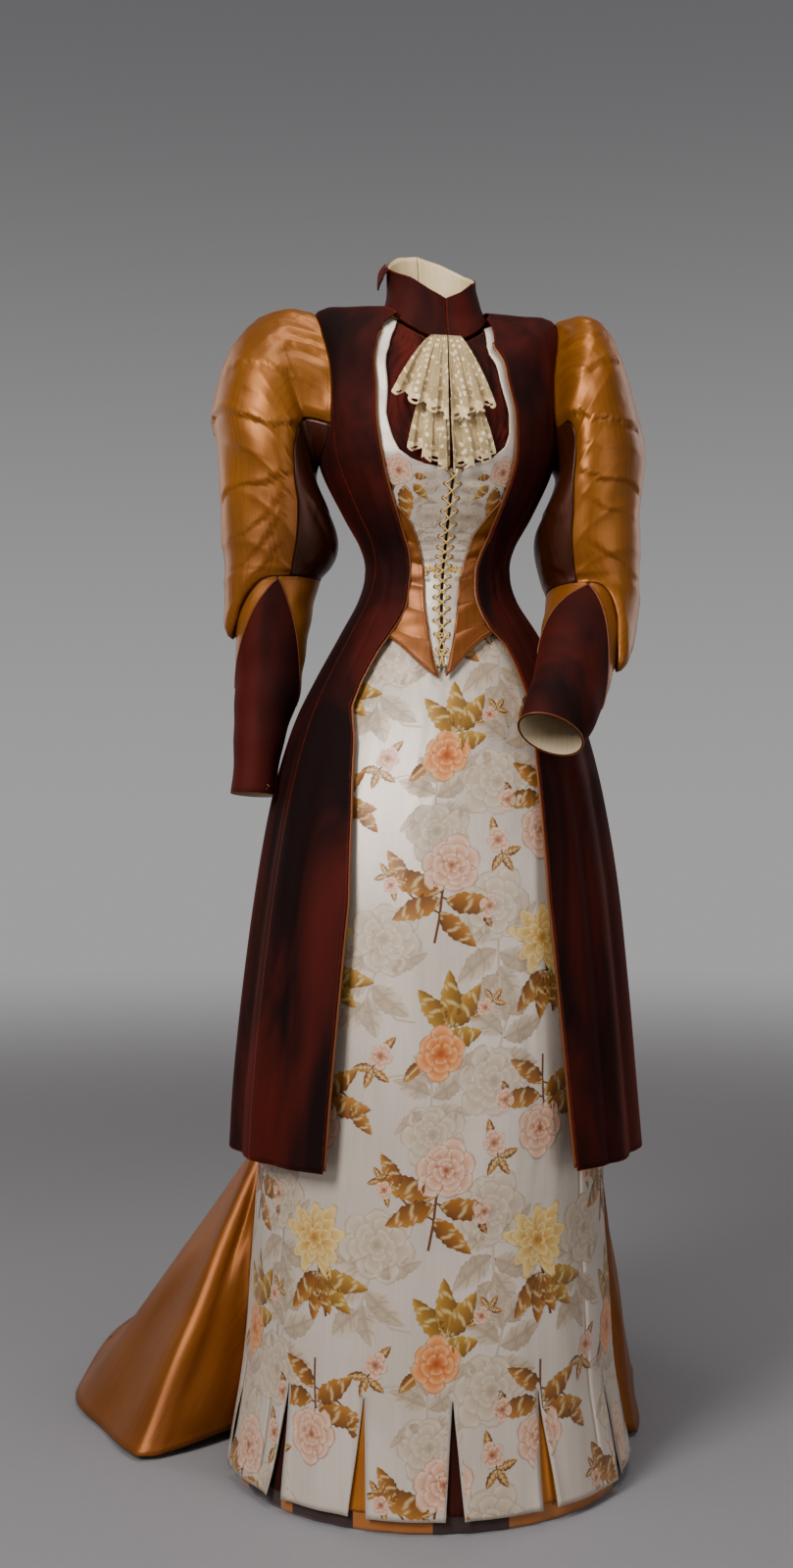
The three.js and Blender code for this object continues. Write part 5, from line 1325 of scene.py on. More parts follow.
for word, (top_l, top_r, top_z, low_l, low_r, low_lz, low_rz, high) in JABOT.items():
    upper = word.startswith("upper")
    columns, scallops = 127, 9 if upper else 7
    across, down = np.linspace(0, 1, columns)[:, None], np.linspace(0, 1, 61)[None, :]
    waves = 3.0 if upper else 2.5
    phase = 2 * np.pi * waves * across ** 1.15 + (0.6 if word.endswith("left") else 0.0)
    crest = np.cos(phase) * (1 + 0.25 * np.sin(1.7 * phase + 1.1))
    lobe = np.abs(np.sin(np.pi * scallops * across)) ** 0.7
    open_out = np.minimum(down * 1.5, 1)
    doubled = np.clip(across + 0.15 / waves * np.sin(2 * phase) * open_out, 0, 1)
    x = mix(mix(top_l, top_r, across), mix(low_l, low_r, doubled), down ** 0.8)
    z = mix(top_z, mix(low_lz, low_rz, across) - 4.5 * lobe + 2.2, down) - SHOULDER
    z = z - 4.0 * crest * down
    ripple = (1 + crest) * (4.2 if upper else 3.4) * open_out
    lift = mix(5.8 if upper else 1.9, high, open_out) + ripple
    gathers = 0.5 * np.sin(across * 60) * (1 - down) ** 2
    face = plastron_at(x, z, lift + gathers)
    piece, size = sew("lace_" + word, face, np.broadcast_to([0, -1.0, 0], face.shape), 0.5,
                      ecru_lace, ecru_lace)
    eyes = np.stack(np.broadcast_arrays(across * scallops, (1 - down) * 62 / 5.5,
                                        np.zeros((1, 1))), -1).reshape(-1, 3)
    held = piece.data.attributes.new("scallop", "FLOAT_VECTOR", "POINT")
    held.data.foreach_set("vector", np.concatenate([eyes, eyes]).astype(np.float32).ravel())
    dress(piece, size, ["jabot_" + word], gather=(1.3, 1.0))

# ---- The sleeves ----
# Leg-of-mutton sleeves: a golden satin puff draped in sharp folds over a stiffened under-sleeve
# of russet satin, painted darker than the puff partly for its own colour and partly as painted
# shade of the inner arm, then a tight velvet forearm whose edge rises to a point between two
# tapering tongues of satin. A thin bronze piping follows the zigzag.
SLEEVE = {
    -1: np.array([
        [-150, 1392, -148, 1208, 10, 55, 0], [-190, 1399, -152, 1196, 9, 70, 0],
        [-222, 1386, -148, 1180, 8, 80, 0], [-249, 1360, -141, 1164, 7, 85, 0],
        [-265, 1324, -134, 1149, 6, 86, 0], [-274, 1284, -128, 1133, 5, 84, 0],
        [-270, 1238, -125, 1117, 5, 79, 0], [-268, 1188, -127, 1101, 4, 73, 0],
        [-264, 1138, -134, 1087, 3, 66, 0], [-257, 1096, -143, 1077, 2, 58, 0],
        [-253, 1068, -147, 1070, 0, 53, 2], [-251, 1038, -155, 1040, -2, 49, 4],
        [-250, 1002, -161, 1004, -5, 45, 6], [-249.5, 966, -167, 966, -8, 41, 6],
        [-250, 930, -172, 930, -14, 38, 6], [-251, 894, -184, 894, -20, 35, 6],
        [-250, 858, -193, 859, -28, 32, 6], [-253, 812, -199, 809, -36, 30, 6]]),
    1: np.array([
        [138, 1392, 137, 1208, 10, 55, 0], [176, 1391, 141, 1194, 9, 69, 0],
        [203, 1372, 138, 1180, 8, 78, 0], [218, 1340, 131, 1164, 7, 83, 0],
        [229, 1302, 124, 1148, 6, 84, 0], [241, 1260, 117, 1132, 5, 82, 0],
        [247, 1214, 114, 1116, 5, 78, 0], [241, 1168, 115, 1098, 4, 72, 0],
        [239, 1122, 119, 1080, 4, 66, 2], [235, 1084, 124, 1064, 4, 60, 8],
        [231, 1044, 128, 1052, -2, 54, 16], [221, 1004, 123, 1026, -34, 48, 30],
        [206, 968, 115, 992, -76, 43, 39], [191, 930, 106, 954, -113, 38, 41],
        [176, 898, 95, 922, -142, 34, 42], [158, 868, 83, 890, -166, 31, 43]]),
}
for rows in SLEEVE.values():
    rows[:, [1, 3]] -= int(SHOULDER)
ELBOW, CUFF = 10.0, {-1: 17.0, 1: 15.0}
OUTER_POINT, INNER_POINT = {-1: 13.7, 1: 13.6}, {-1: 14.3, 1: 12.4}
sleeve_satin = satin_cloth("sleeve_satin", srgb(92, 46, 6), srgb(158, 94, 22), 0.40, 0.5)
# The under-sleeve's dark russet is partly its own colour and partly painted shade of the inner arm.
under_satin = satin_cloth("under_satin", srgb(28, 9, 3), srgb(82, 34, 10), 0.36, 0.5)

# Folds of each sleeve as it drapes: path of degrees and levels, width of the lip, its height and
# the depth of the hollow under it.
SLEEVE_FOLDS = {
    -1: [
        ([(30, 3.9), (44, 3.34), (76, 1.9), (92, 0.44)], 9, 3.6, 2.8),
        ([(-12, 6.0), (18, 5.3), (60, 4.65), (88, 3.9), (124, 0.73)], 11, 7.0, 4.4),
        ([(16, 7.7), (31, 7.25), (80, 6.3), (118, 4.27)], 9, 4.4, 3.6),
        ([(44, 2.37), (58, 1.2), (63, 0.33)], 7, 2.6, 1.8),
        ([(34, 4.28), (60, 3.7), (84, 3.1)], 6, 1.8, 1.4),
        ([(30, 5.95), (60, 5.7), (88, 5.25)], 6, 2.0, 1.5),
        ([(24, 8.5), (60, 8.1), (84, 7.2), (106, 5.4)], 8, 2.8, 2.2),
        ([(14, 9.6), (52, 9.3), (80, 8.2), (104, 6.3)], 9, 3.0, 2.2),
        ([(10, 10.9), (46, 10.5), (74, 9.6), (102, 7.6)], 9, 3.0, 2.0),
        ([(8, 4.3), (34, 3.7)], 6, 2.0, 1.5),
        ([(20, 1.9), (46, 1.1), (62, 0.2)], 7, 2.6, 2.0),
        ([(-14, 2.6), (18, 1.5), (36, 0.2)], 8, 2.8, 2.0),
    ],
    1: [
        ([(84, 0.28), (75, 1.55), (37, 2.91), (20, 3.2)], 9, 3.8, 3.0),
        ([(112, 0.53), (87, 3.24), (48, 4.74), (22, 5.3)], 10, 5.6, 4.0),
        ([(84, 3.4), (60, 4.0), (40, 3.9)], 5, 1.8, 1.4),
        ([(122, 3.63), (82, 5.7), (32, 6.77), (8, 7.0)], 9, 4.2, 3.4),
        ([(112, 2.6), (80, 4.7), (34, 5.8)], 7, 2.0, 1.5),
        ([(112, 5.2), (80, 6.7), (30, 7.6)], 7, 2.2, 1.6),
        ([(60, 0.3), (56, 1.1), (26, 1.9)], 7, 2.6, 2.0),
        ([(104, 7.2), (76, 8.4), (40, 9.3), (6, 9.6)], 10, 2.4, 1.8),
        ([(52, 5.5), (22, 6.0)], 4, 1.2, 1.0),
        ([(40, 0.3), (28, 1.2), (4, 2.0)], 8, 2.6, 2.0),
    ],
}
UNDER_FOLDS = {
    -1: [([(124, 2.2), (150, 3.6), (170, 4.2)], 9, 3.4, 2.8),
         ([(120, 5.0), (150, 6.6), (172, 7.2)], 9, 3.6, 3.0),
         ([(126, 8.3), (150, 9.4)], 6, 2.6, 2.0)],
    1: [([(166, 7.4), (140, 8.4), (120, 9.3)], 8, 3.0, 2.4),
        ([(168, 3.6), (146, 4.8), (122, 6.2)], 9, 3.0, 2.6)],
}


def sleeve_form(side, turn, v):
    """Rings of the sleeve from the armhole on the coat down to the cuff."""
    rows = SLEEVE[side]
    last = len(rows) - 1
    turn, v = np.broadcast_arrays(np.asarray(turn, float), np.asarray(v, float))
    s, c = np.sin(np.radians(turn)), np.cos(np.radians(turn))
    hole = coat_form(side * (ARMHOLE_TURN - (ARMHOLE_SPREAD - 0.5) * s),
                     ARMHOLE_LEVEL - (ARMHOLE_DROP - 0.022) * c)

    def ring(index):
        r = rows[np.clip(index, 0, last)]
        lean = np.radians(r[..., 6])
        x = (r[..., 0] + r[..., 2]) / 2 + (r[..., 0] - r[..., 2]) / 2 * c
        y = r[..., 4] - r[..., 5] * np.cos(lean) * s
        z = ((r[..., 1] + r[..., 3]) / 2 + (r[..., 1] - r[..., 3]) / 2 * c
             + r[..., 5] * np.sin(lean) * s)
        return np.where((index <= 0)[..., None], hole, np.stack([x, y, z], -1))

    place = np.clip(v, 0, last)
    i = np.minimum(place.astype(int), last - 1)
    t = (place - i)[..., None]
    b, d = ring(i), ring(i + 1)
    a = np.where((i > 0)[..., None], ring(i - 1), 2 * b - d)
    e = np.where((i + 2 <= last)[..., None], ring(i + 2), 2 * d - b)
    return 0.5 * (2 * b + (d - a) * t + (2 * a - 5 * b + 4 * d - e) * t * t
                  + (3 * b - a - 3 * d + e) * t ** 3)


def sleeve_at(side, turn, v, depth=0.0):
    turn, v = np.broadcast_arrays(np.asarray(turn, float), np.asarray(v, float))
    low = np.clip(v, 0.06, len(SLEEVE[side]) - 1.06)
    normal = outward(lambda a, b: sleeve_form(side, a, b), turn, low, side, 2.0, 0.05)
    return sleeve_form(side, turn, v) - normal * np.asarray(depth)[..., None], normal


FOLD_LIP = (0.42, 0.36, 0.7)  # shares of a fold's width, height and dip in its crisp lip
FOLD_SWELL = (3.0, 0.24)  # shares of its width and height in the soft swell round the lip


def fold_all(side, points, normal, folds, both_faces=True):
    """Lays every fold in the cloth, and its like on the back of the arm."""
    for corners, wide, high, dip in folds:
        for back in ((False, True) if both_faces else (False,)):
            knots = np.array(corners, float)
            if back:
                knots = np.stack([-knots[:, 0] * 0.94 - 3, knots[:, 1] * 0.96 + 0.25], -1)[::-1]
            share = np.linspace(0, len(knots) - 1, 5 * len(knots))
            turn, v = (np.interp(share, np.arange(len(knots)), knots[:, k]) for k in (0, 1))
            path = sleeve_form(side, turn, v)
            points = tuck(points, normal, path, FOLD_LIP[0] * wide, FOLD_LIP[1] * high,
                          FOLD_LIP[2] * dip)
            points = crease(points, normal, path, FOLD_SWELL[0] * wide, FOLD_SWELL[1] * high)
    return points


def zigzag(side, turn):
    """Level of the forearm's velvet edge round the arm: high at front and back."""
    a = np.mod(turn, 360)
    from_out = np.minimum(a, 360 - a)
    top = ELBOW + 0.06
    return np.where(from_out <= 95, mix(OUTER_POINT[side], top, from_out / 95),
                    mix(INNER_POINT[side], top, (180 - from_out) / 85))


for side, word in ((-1, "right"), (1, "left")):
    # The puff: gathered into the armhole, folded across the arm and hanging over its point.
    turn = np.linspace(-112, 112, 121)[:, None]
    low = ELBOW - 0.02 + (2.1 if side < 0 else 2.3) * np.cos(np.radians(turn)).clip(0, 1) ** 2
    share = even_levels(lambda a, b: sleeve_form(side, a, b), 40, 0, ELBOW, 2.6)[None, :] / ELBOW
    v = share * low
    face, guide = sleeve_at(side, turn, v)
    hang = np.cos(np.radians(turn)).clip(0, 1) * np.clip((v - 7.5) / 2.5, 0, 1)
    closing = np.clip((low - v) / 0.35, 0.0, 1) ** 0.5
    face = face + guide * (3.0 + 9.0 * hang * closing - 3.0 * np.clip(1 - v / 0.8, 0, 1)
                           - 3.0 * np.clip((np.abs(turn) - 98) / 14, 0, 1)
                           - 3.0 * (1 - hang.clip(0, 1)) * np.clip((v - 9.3) / 0.6, 0, 1)
                           )[..., None]
    gathers = np.sin(np.radians(turn) * 19 + 2 * np.sin(turn * 0.11)) * np.exp(-v * 1.1)
    run_a = np.radians(turn) * 82 + v * 9
    run_b = np.radians(turn) * 30 - v * 34
    fine_pull = (1 - np.abs(np.sin(run_b / 17 + 1.3 * np.sin(run_a / 41)))) ** 3
    slack = np.sin(run_a / 23 + 1.1 * np.sin(run_b / 31)) * np.sin(run_b / 27 + 0.7)
    face = face + guide * (2.2 * gathers * np.clip(v * 4, 0, 1) + 0.9 * fine_pull
                           + 1.3 * slack * np.clip(v, 0, 1))[..., None]
    face = fold_all(side, face, guide, SLEEVE_FOLDS[side])
    piece, size = sew("satin_puff_" + word, face, guide, SATIN, sleeve_satin, cotton)
    dress(piece, size, ["sleeve_puff_" + word], gather=(1.25, 1.1))

    # The under-sleeve, in the shade of the arm.
    turn = np.linspace(112.8, 247.2, 61)[:, None]
    level = even_levels(lambda a, b: sleeve_form(side, a, b), 150, 0, ELBOW - 0.02, 4.0)[None, :]
    face, guide = sleeve_at(side, turn, level + 0 * turn)
    face = fold_all(side, face, guide, UNDER_FOLDS[side], both_faces=False)
    mirror = [([(360 - t, v) for t, v in path][::-1], w, h, d) for path, w, h, d in UNDER_FOLDS[side]]
    face = fold_all(side, face, guide, mirror, both_faces=False)
    piece, size = sew("russet_under_sleeve_" + word, face, guide, SATIN, under_satin, cotton)
    dress(piece, size, ["under_sleeve_" + word])

    # The velvet forearm, a closed ring, with soft cross wrinkles and its piping.
    turn = np.linspace(0, 360, 145)[:, None]
    start = zigzag(side, turn) + 0.035
    v = mix(start, CUFF[side], np.linspace(0, 1, 71)[None, :])
    face, guide = sleeve_at(side, turn, v)
    soft = 0.7 * np.sin(v * 4.1 + 0.8 * np.sin(np.radians(turn))) * np.clip(v - start, 0, 1)
    face = face + guide * soft[..., None]
    piece, size = sew("velvet_forearm_" + word, face, guide, VELVET, coat_velvet, cotton, ring=True)
    bend = sleeve_at(side, turn[:-1, 0], start[:-1, 0], -0.2)[0]
    size = (run_along(face, 0)[-1, 35] / 1000, *size[1:])
    piping = bundle("forearm_piping_" + word, [tube(bend, 0.9, 6, closed=True)], facing_satin)
    hem_line = sleeve_at(side, turn[:-1, 0], np.full(144, CUFF[side] - 0.01), 0.2)[0]
    cuff_line = bundle("cuff_edge_" + word, [tube(hem_line, 0.8, 6, closed=True)], facing_satin)
    for trim in (piping, cuff_line):
        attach(trim, "root")
    dress(piece, size, ["forearm_velvet_" + word])

    # The satin tongues that run down between the velvet's points.
    for name, node, first, final in (("outer", "sleeve_point_outer_", -94, 94),
                                     ("inner", "sleeve_point_inner_", 96, 264)):
        turn = np.linspace(first, final, 61)[:, None]
        low = np.maximum(zigzag(side, turn) - 0.035, ELBOW + 0.02)
        v = mix(ELBOW + 0.01, low, np.linspace(0, 1, 65)[None, :])
        face, guide = sleeve_at(side, turn, v)
        pulls = 0.7 * np.sin(v * 5.0 + np.radians(turn) * 2.2) * np.clip(v - ELBOW, 0, 1)
        face = face + guide * (pulls * np.clip(zigzag(side, turn) - v, 0, 1))[..., None]
        piece, size = sew("satin_tongue_" + name + "_" + word, face, guide, SATIN, sleeve_satin,
                          cotton)
        size = (run_along(face, 0)[-1, 0] / 1000, *size[1:])
        dress(piece, size, [node + word])

# The hook that shuts the right cuff, of bronze wire.
bronze_wire, tree = new_material("bronze_wire")
tarnish = add(tree, "TexNoise", {"Scale": 300.0, "Detail": 3.0})
finish_material(tree, add(tree, "BsdfPrincipled", {
    "Base Color": blend(tree, tarnish.outputs[0], srgb(70, 44, 20), srgb(176, 128, 66)),
    "Roughness": calc(tree, "MULTIPLY_ADD", tarnish.outputs[0], 0.3, 0.25), "Metallic": 1.0}))
centre, normal = sleeve_at(-1, np.array(128.0), np.array(16.85), -1.4)
a = np.linspace(-0.4, 1.5 * np.pi, 22)[:, None]
ring = (centre + np.cos(a) * 2.6 * np.array([0.8, -0.6, 0]) + np.sin(a) * 2.6 * np.array([0, 0, 1.0]))
hook = bundle("cuff_hook", [tube(ring, 0.5, 6, taper=True)], bronze_wire)
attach(hook, "root")

# ---- The brocade skirt ----
# Three gored widths of the brocade, smooth over the hips and falling free. The lower edge is
# slashed into square tabs a hand wide. It runs under the coat to the side seams of the train.
SKIRT_FORM = np.array([
    [1064, 1064, 1064, -4, 8, 79.5, 74.4, 75.3, 3], [1046, 1046, 1046, -4, 8, 84.5, 77, 79.2, 3],
    [1005, 1005, 1005, -2, 8, 108, 88.6, 96, 2], [950, 950, 950, -1, 8, 138, 108.6, 119, 1],
    [890, 890, 890, -2, 8, 163, 134, 139, 1], [800, 800, 800, -4, 6, 185, 160, 167, 0],
    [700, 700, 700, -5, 4, 198, 178, 204, 0], [580, 580, 580, -8, 2, 204, 191, 272, 0],
    [470, 470, 470, -10, 0, 206, 200, 348, 0], [388, 388, 388, -12, 0, 207, 207, 412, 0],
    [300, 300, 300, -14, 0, 211, 212, 412, 0], [230, 230, 230, -14, 0, 216, 218, 412, 0],
    [142, 142, 142, -15, 0, 222, 226, 412, 0], [80, 80, 80, -15, 0, 231, 233, 412, 0],
    [16, 16, 16, -15, 0, 241, 241, 412, 0]], float)
TRAIN_HEM = np.array([
    [-98, -253.6, 57.3, 1], [-104, -296, -6, 1], [-111, -330, -34, 1.02], [-119, -370, -4, 1.05],
    [-129, -430, 100, 0.98], [-139, -482, 234, 1.0], [-149, -474, 470, 1.25],
    [-159, -420, 700, 1.6], [-170, -270, 880, 1.8], [-181, -60, 950, 1.9], [-192, 110, 890, 1.8],
    [-203, 220, 740, 1.6], [-216, 268, 560, 1.4], [-230, 272, 390, 1.2], [-246, 262, 210, 1.05],
    [-256, 246, 80, 1], [-262, 223.6, 57.3, 1]])
TRAIN_SEAM, FRONT_SEAM, CALF, HEM = 98.0, 55.0, 8.2, 14.0
TRAIN_EDGES = (20.0, 6.0)  # degrees in which its right and left edges turn out
SLASHES = np.array([-77, -46.5, -20, 6, 33, 64.5, 88])
SLASH_LEVEL, SLASH_WIDTH = 12.0, 20.0
BANDS = ("_upper", "_middle", "_lower")  # the frame keeps long widths as three level bands


def skirt_form(turn, v):
    """Skirt and train in one surface: the back leaves the oval above the calf for the floor."""
    turn, v = np.broadcast_arrays(np.asarray(turn, float), np.asarray(v, float))
    ring = oval(SKIRT_FORM, turn, v)
    about = np.where(turn > TRAIN_SEAM, turn - 360, turn)
    fall = np.clip((v - CALF) / (HEM - CALF), 0, 1)
    calf = oval(SKIRT_FORM, turn, np.full(v.shape, CALF))
    i = np.clip(np.searchsorted(-TRAIN_HEM[:, 0], -about, side="right") - 1, 0,
                len(TRAIN_HEM) - 2)
    step = (about - TRAIN_HEM[i, 0]) / (TRAIN_HEM[i + 1, 0] - TRAIN_HEM[i, 0])
    land = smooth_rows(TRAIN_HEM, i + np.clip(step, 0, 1))
    edge = np.clip(np.minimum((-TRAIN_SEAM - about) / TRAIN_EDGES[0],
                              (about + 360 - TRAIN_SEAM) / TRAIN_EDGES[1]), 0, 1)
    floor = 16 - 12 * edge - SHOULDER
    out = np.stack([mix(calf[..., 0], land[..., 1], fall), mix(calf[..., 1], land[..., 2], fall),
                    floor + (calf[..., 2] - floor) * (1 - fall) ** land[..., 3]], -1)
    return np.where((v <= CALF)[..., None], ring, ring + (out - ring) * edge[..., None])


def skirt_at(turn, v, depth=0.0):
    turn, v = np.broadcast_arrays(np.asarray(turn, float), np.asarray(v, float))
    normal = outward(skirt_form, turn, np.minimum(v, HEM - 0.06), -1)
    return skirt_form(turn, v) - normal * np.asarray(depth)[..., None], normal


# Soft folds of the skirt: degrees at the hip, drift in degrees to the hem, width, height.
SKIRT_FOLDS = [
    (-82, -2, 9, 4.0), (-64, -3, 8, 3.4), (-44, -4, 7, 2.6), (-29, -3, 8, 3.2), (-11, 2, 7, 2.4),
    (12, 3, 8, 2.8), (24, 3, 6, 2.2), (41, 4, 8, 3.6), (58, 3, 8, 3.6), (78, 2, 9, 4.0),
]


def slash_half(v):
    """Half the width of a slash, in degrees of turn."""
    wide = smooth_rows(SKIRT_FORM, v)[..., 5]
    return (np.maximum((v - SLASH_LEVEL) / 2, 0) * SLASH_WIDTH + 1.2) * 57.3 / wide / 2


def skirt_cloth(turn, v):
    points, normal = skirt_at(turn, v)
    grow = np.clip((v - 2.5) / 8, 0, 1)
    soft = np.zeros(points.shape[:-1])
    for middle, drift, wide, high in SKIRT_FOLDS:
        soft += high * np.exp(-((turn - middle - drift * v / HEM) / wide) ** 2)
    soft = (soft - 2.2) * grow
    # Darts from the waist over the stomach.
    for middle, drift in ((-31, -3.5), (-15, -3), (13, 3), (29, 4), (-58, -3), (58, 3)):
        dart = np.exp(-((turn - middle - drift * v) / 1.3) ** 2) * np.clip(1 - v / 3.6, 0, 1)
        soft -= 1.1 * dart
    # Tabs swing a little, and their cut edges turn up.
    tab = np.searchsorted(SLASHES, turn)
    low = np.clip((v - SLASH_LEVEL) / (HEM - SLASH_LEVEL), 0, 1)
    soft += low * low * np.array([1.0, 3.0, 0.0, 2.4, -0.6, 2.6, 0.8, 2.0])[tab]
    near = np.min(np.abs(turn[..., None] - SLASHES), axis=-1) - slash_half(v)
    curl = np.exp(-(np.maximum(near, 0) / 1.6) ** 2) * low ** 1.5
    soft += 3.2 * curl * (1 + 0.5 * np.sin(tab * 2.4 + v * 3))
    soft += 0.35 * np.sin(turn * 0.9 + 3 * np.sin(v * 1.3)) * np.sin(v * 2.3 + turn * 0.2)
    return points + normal * soft[..., None], normal


def slashed_panel(first, last, step=6.0):
    """Turns and levels of one width, and which cells are cloth. The lines at a slash part
    from its top down to the hem."""
    levels = even_levels(skirt_form, 0, 0, HEM, step, stops=(SLASH_LEVEL,))
    lines = [(first, 0, 1)]
    for slash in SLASHES[(SLASHES > first) & (SLASHES < last)]:
        lines += [(slash, -1, 0), (slash, 1, 0)]
    lines.append((last, 0, -1))
    paths = [turn + shift * slash_half(levels) + pull * degrees_on_skirt(SEAM / 2, levels)
             for turn, shift, pull in lines]
    columns, slashed = [paths[0]], []
    for (_, shift, _), left, right in zip(lines, paths[:-1], paths[1:]):
        opening = shift < 0
        count = 1 if opening else max(int((right[-1] - left[-1]) * 4.1 / step), 2)
        for k in range(1, count + 1):
            columns.append(mix(left, right, k / count))
            slashed.append(opening)
    below = levels[:-1] > SLASH_LEVEL - 0.01
    keep = ~(np.array(slashed)[:, None] & below[None, :])
    return np.stack(columns), levels[None, :], keep


def degrees_on_skirt(mm, v):
    return mm * 57.3 / smooth_rows(SKIRT_FORM, v)[..., 5]


fine = np.linspace(0, HEM, 1500)
fall_line = skirt_form(np.zeros_like(fine), fine)
fall_run = np.concatenate([[0], np.cumsum(np.linalg.norm(np.diff(fall_line, axis=0), axis=1))])


def skirt_place(x, y):
    v = np.interp(-y, fall_run, fine)
    return degrees_on_skirt(x, v), v


def on_skirt(x, y):
    """Flat millimetres on the skirt: x to the wearer's left of the middle, y up from the waist."""
    return skirt_cloth(*skirt_place(x, y))


def off_skirt(x, y):
    turn, v = skirt_place(x, y)
    near = np.min(np.abs(turn[:, None] - SLASHES), axis=1)
    slash = (v > SLASH_LEVEL - 0.1) & (near < slash_half(v) + 0.25)
    return slash | (v > HEM - 0.03) | (np.abs(turn) > TRAIN_SEAM - 0.6) | (y > -4)


# One repeat of the pattern, 270 wide by 340 high: spray, place, turn in degrees, and size.
REPEAT_WIDE, REPEAT_HIGH = 270.0, 340.0
SPRAYS = [
    (rose_spray, 0, -60, 0, 1.3), (peony_spray, 132, -150, 12, 1.35),
    (coral_spray, 8, -236, -14, 1.25), (bud_spray, 70, -20, 30, 1.15),
    (bud_spray, -70, -262, -24, 1.15), (rose_spray, 136, -318, -170, 1.2),
    (damask_spray, 66, -98, 8, 0.92), (damask_spray, -66, -136, -12, 0.92),
    (damask_spray, 68, -270, 172, 0.9), (damask_spray, -4, -330, 186, 0.75),
    (bud_spray, 60, -196, 140, 0.8), (bud_spray, -58, -56, -150, 0.8),
]
widths = {"skirt_side_right": (-TRAIN_SEAM, -FRONT_SEAM), "skirt_front": (-FRONT_SEAM, FRONT_SEAM),
          "skirt_side_left": (FRONT_SEAM, TRAIN_SEAM)}
sprays = {node: [] for node in widths}
for row in range(-1, 4):
    for column in range(-2, 3):
        for make, x, y, angle, size in SPRAYS:
            at = (x + column * REPEAT_WIDE, y + 30 - row * REPEAT_HIGH)
            turn, v = skirt_place(np.array(at[0]), np.array(min(at[1], -1.0)))
            if at[1] > 40 or at[1] < -fall_run[-1] - 40 or abs(turn) > TRAIN_SEAM + 14:
                continue
            node = min(widths, key=lambda n: abs(float(turn) - sum(widths[n]) / 2)
                       / (widths[n][1] - widths[n][0]))
            for flat, colour, lift in make():
                x1, y1 = flat[..., 0] * size, flat[..., 1] * size
                sprays[node].append((turned(x1, y1, at, angle), colour, lift))

for node, (first, last) in widths.items():
    turn, level, keep = slashed_panel(first, last)
    face, guide = skirt_cloth(turn, level + 0 * turn)
    piece, size = sew("brocade_" + node, face, guide, BROCADE, ivory_brocade, cotton, keep)
    flowers = embroider("woven_flowers_" + node, sprays[node], on_skirt, flower_silk, off_skirt)
    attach(flowers, "root")
    bands = [node + part for part in BANDS] if node == "skirt_front" else [node]
    dress(piece, size, bands)

# ---- Under the hem ----
# A stiff foundation band of copper satin and brown velvet strips stands on the floor, and a flat
# pleat backs each slash so that its colour shows between the tabs.
hem_satin = satin_cloth("hem_satin", srgb(120, 62, 14), srgb(190, 116, 38), 0.36, 0.3)
hem_velvet = velvet_cloth("hem_velvet", srgb(26, 7, 4), srgb(64, 20, 10), srgb(150, 70, 44))
for k, slash in enumerate(SLASHES):
    v = np.linspace(11.7, HEM - 0.08, 41)[None, :]
    spread = mix(2, 7.5, (v - 11.7) / 2.22)
    turn = slash + np.linspace(-1, 1, 33)[:, None] * spread
    face, guide = skirt_at(turn, v, BROCADE + 2.4)
    crimp = 0.45 * np.sin((turn - slash) * 2.3 + k) - 0.45
    face = face + guide * crimp[..., None]
    cloth = hem_satin if k % 2 == 0 else hem_velvet
    piece, size = sew(f"slash_pleat_{k + 1}", face, guide, 1.2, cloth, cotton)
    dress(piece, size, [f"hem_pleat_{k + 1}"])


def striped_hem():
    """Copper satin crossed by strips of brown velvet of uneven width."""
    material, tree = new_material("striped_hem")
    cloth = cloth_place(tree)
    split = add(tree, "SeparateXYZ", {0: cloth})
    strip = calc(tree, "ADD", calc(tree, "SINE", calc(tree, "MULTIPLY", split.outputs[0], 44.0)),
                 calc(tree, "SINE", calc(tree, "MULTIPLY", split.outputs[0], 27.0)))
    dark = calc(tree, "GREATER_THAN", strip, 0.05)
    weave = place_group(tree, WEAVE, {"Cloth": cloth, "Across": 900.0, "Down": 700.0,
                                      "Slub": 0.5})
    satin = blend(tree, weave["Slub"], srgb(150, 86, 26), srgb(190, 116, 38))
    velvet = blend(tree, weave["Slub"], srgb(40, 14, 8), srgb(64, 24, 14))
    bump = add(tree, "Bump", {"Strength": 0.3, "Distance": 0.0004, "Height": weave["Height"]})
    shader = add(tree, "BsdfPrincipled", {
        "Base Color": blend(tree, dark, satin, velvet),
        "Roughness": calc(tree, "MULTIPLY_ADD", dark, 0.4, 0.4), "Normal": bump.outputs[0],
        "Sheen Weight": 0.2})
    finish_material(tree, shader)
    return material


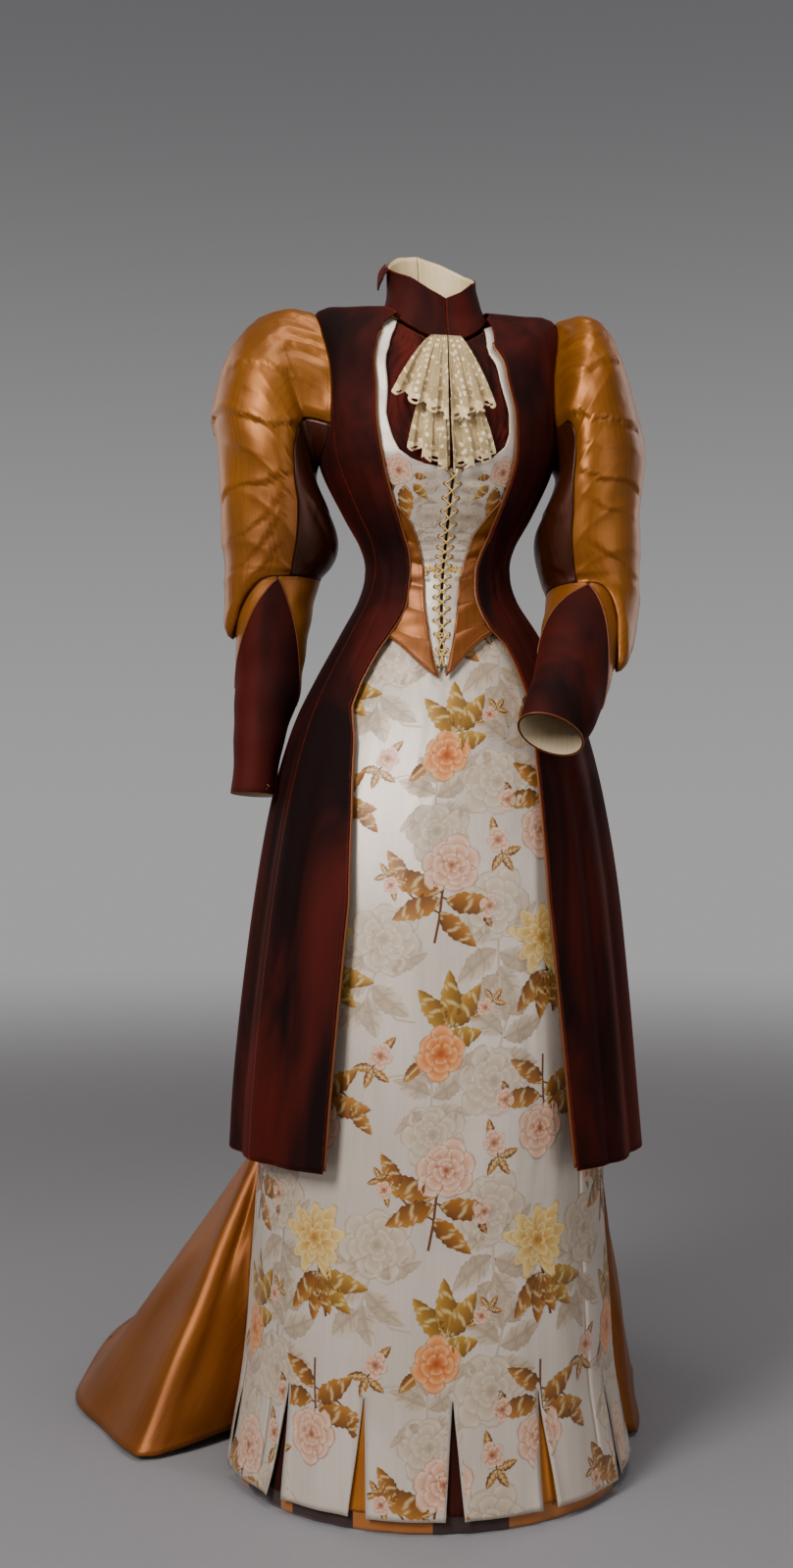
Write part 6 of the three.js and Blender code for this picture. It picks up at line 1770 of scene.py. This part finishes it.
z = np.linspace(96, 0.8, 30)[None, :] - SHOULDER
turn = np.linspace(-95, 95, 161)[:, None]
v = np.minimum(HEM - (z + SHOULDER - 16) / 64, HEM)
face, guide = skirt_at(turn, v, BROCADE + 4.6)
face[..., 2] = z
face = face + guide * (0.5 * np.sin(turn * 0.7) * (v - 12.8))[..., None]
piece, size = sew("foundation_band", face, guide, 1.5, striped_hem(), cotton)
dress(piece, size, ["foundation_hem"])

# ---- The train ----
# Three widths of golden satin set into the back waist, spreading over the floor in long folds.
# The hem is turned up over a cord, so that it rolls a little.
train_satin = satin_cloth("train_satin", srgb(88, 42, 5), srgb(150, 84, 16), 0.44, 0.5)
TRAIN_FOLDS = [  # degrees at the waist and at the hem, width, height at the hem
    (-107, -105, 3.0, 4), (-119, -121, 4.0, 11), (-133, -136, 5.0, 5), (-146, -150, 5.0, 10),
    (-162, -165, 5.5, 8), (-181, -184, 6.0, 13), (-197, -200, 5.5, 8), (-214, -216, 5.5, 10),
    (-232, -234, 5.0, 7), (-249, -250, 4.0, 5),
]


def train_cloth(turn, v):
    points, normal = skirt_at(turn, v)
    fall = np.clip(v / HEM, 0, 1)
    soft = np.zeros(points.shape[:-1])
    for waist, hem, wide, high in TRAIN_FOLDS:
        x = (turn - mix(waist, hem, fall)) / wide
        soft += high * (np.exp(-x * x) - 0.45 * np.exp(-((x - 1.5) / 0.6) ** 2))
    inside = np.clip(np.minimum(-TRAIN_SEAM - turn, turn + 262) / 5, 0, 1)
    shape = np.clip((v - 2.0) / 8, 0, 1) * (1 - 0.45 * np.clip((v - 12.5) / 1.5, 0, 1))
    soft = soft * shape * inside
    soft += 1.2 * np.sin(v * 3.1 + turn * 0.5) * np.sin(turn * 0.23) * shape * inside
    roll = 2.2 * np.exp(-((HEM - v) / 0.06) ** 2) * inside
    return points + normal * (soft + roll)[..., None], normal


for word, first, last in (("right", -98, -149), ("centre", -149, -216), ("left", -216, -262)):
    level = even_levels(skirt_form, (first + last) / 2, 0, HEM, 9.0)[None, :]
    count = {"right": 61, "centre": 121, "left": 61}[word]
    pull = degrees_on_skirt(SEAM * 0.6, level)
    turn = mix(first - pull, last + pull, np.linspace(0, 1, count)[:, None])
    face, guide = train_cloth(turn, level + 0 * turn)
    piece, size = sew("satin_train_" + word, face, guide, SATIN, train_satin, cotton)
    bands = [""] if word == "centre" else BANDS
    dress(piece, size, ["train_" + word + part for part in bands])
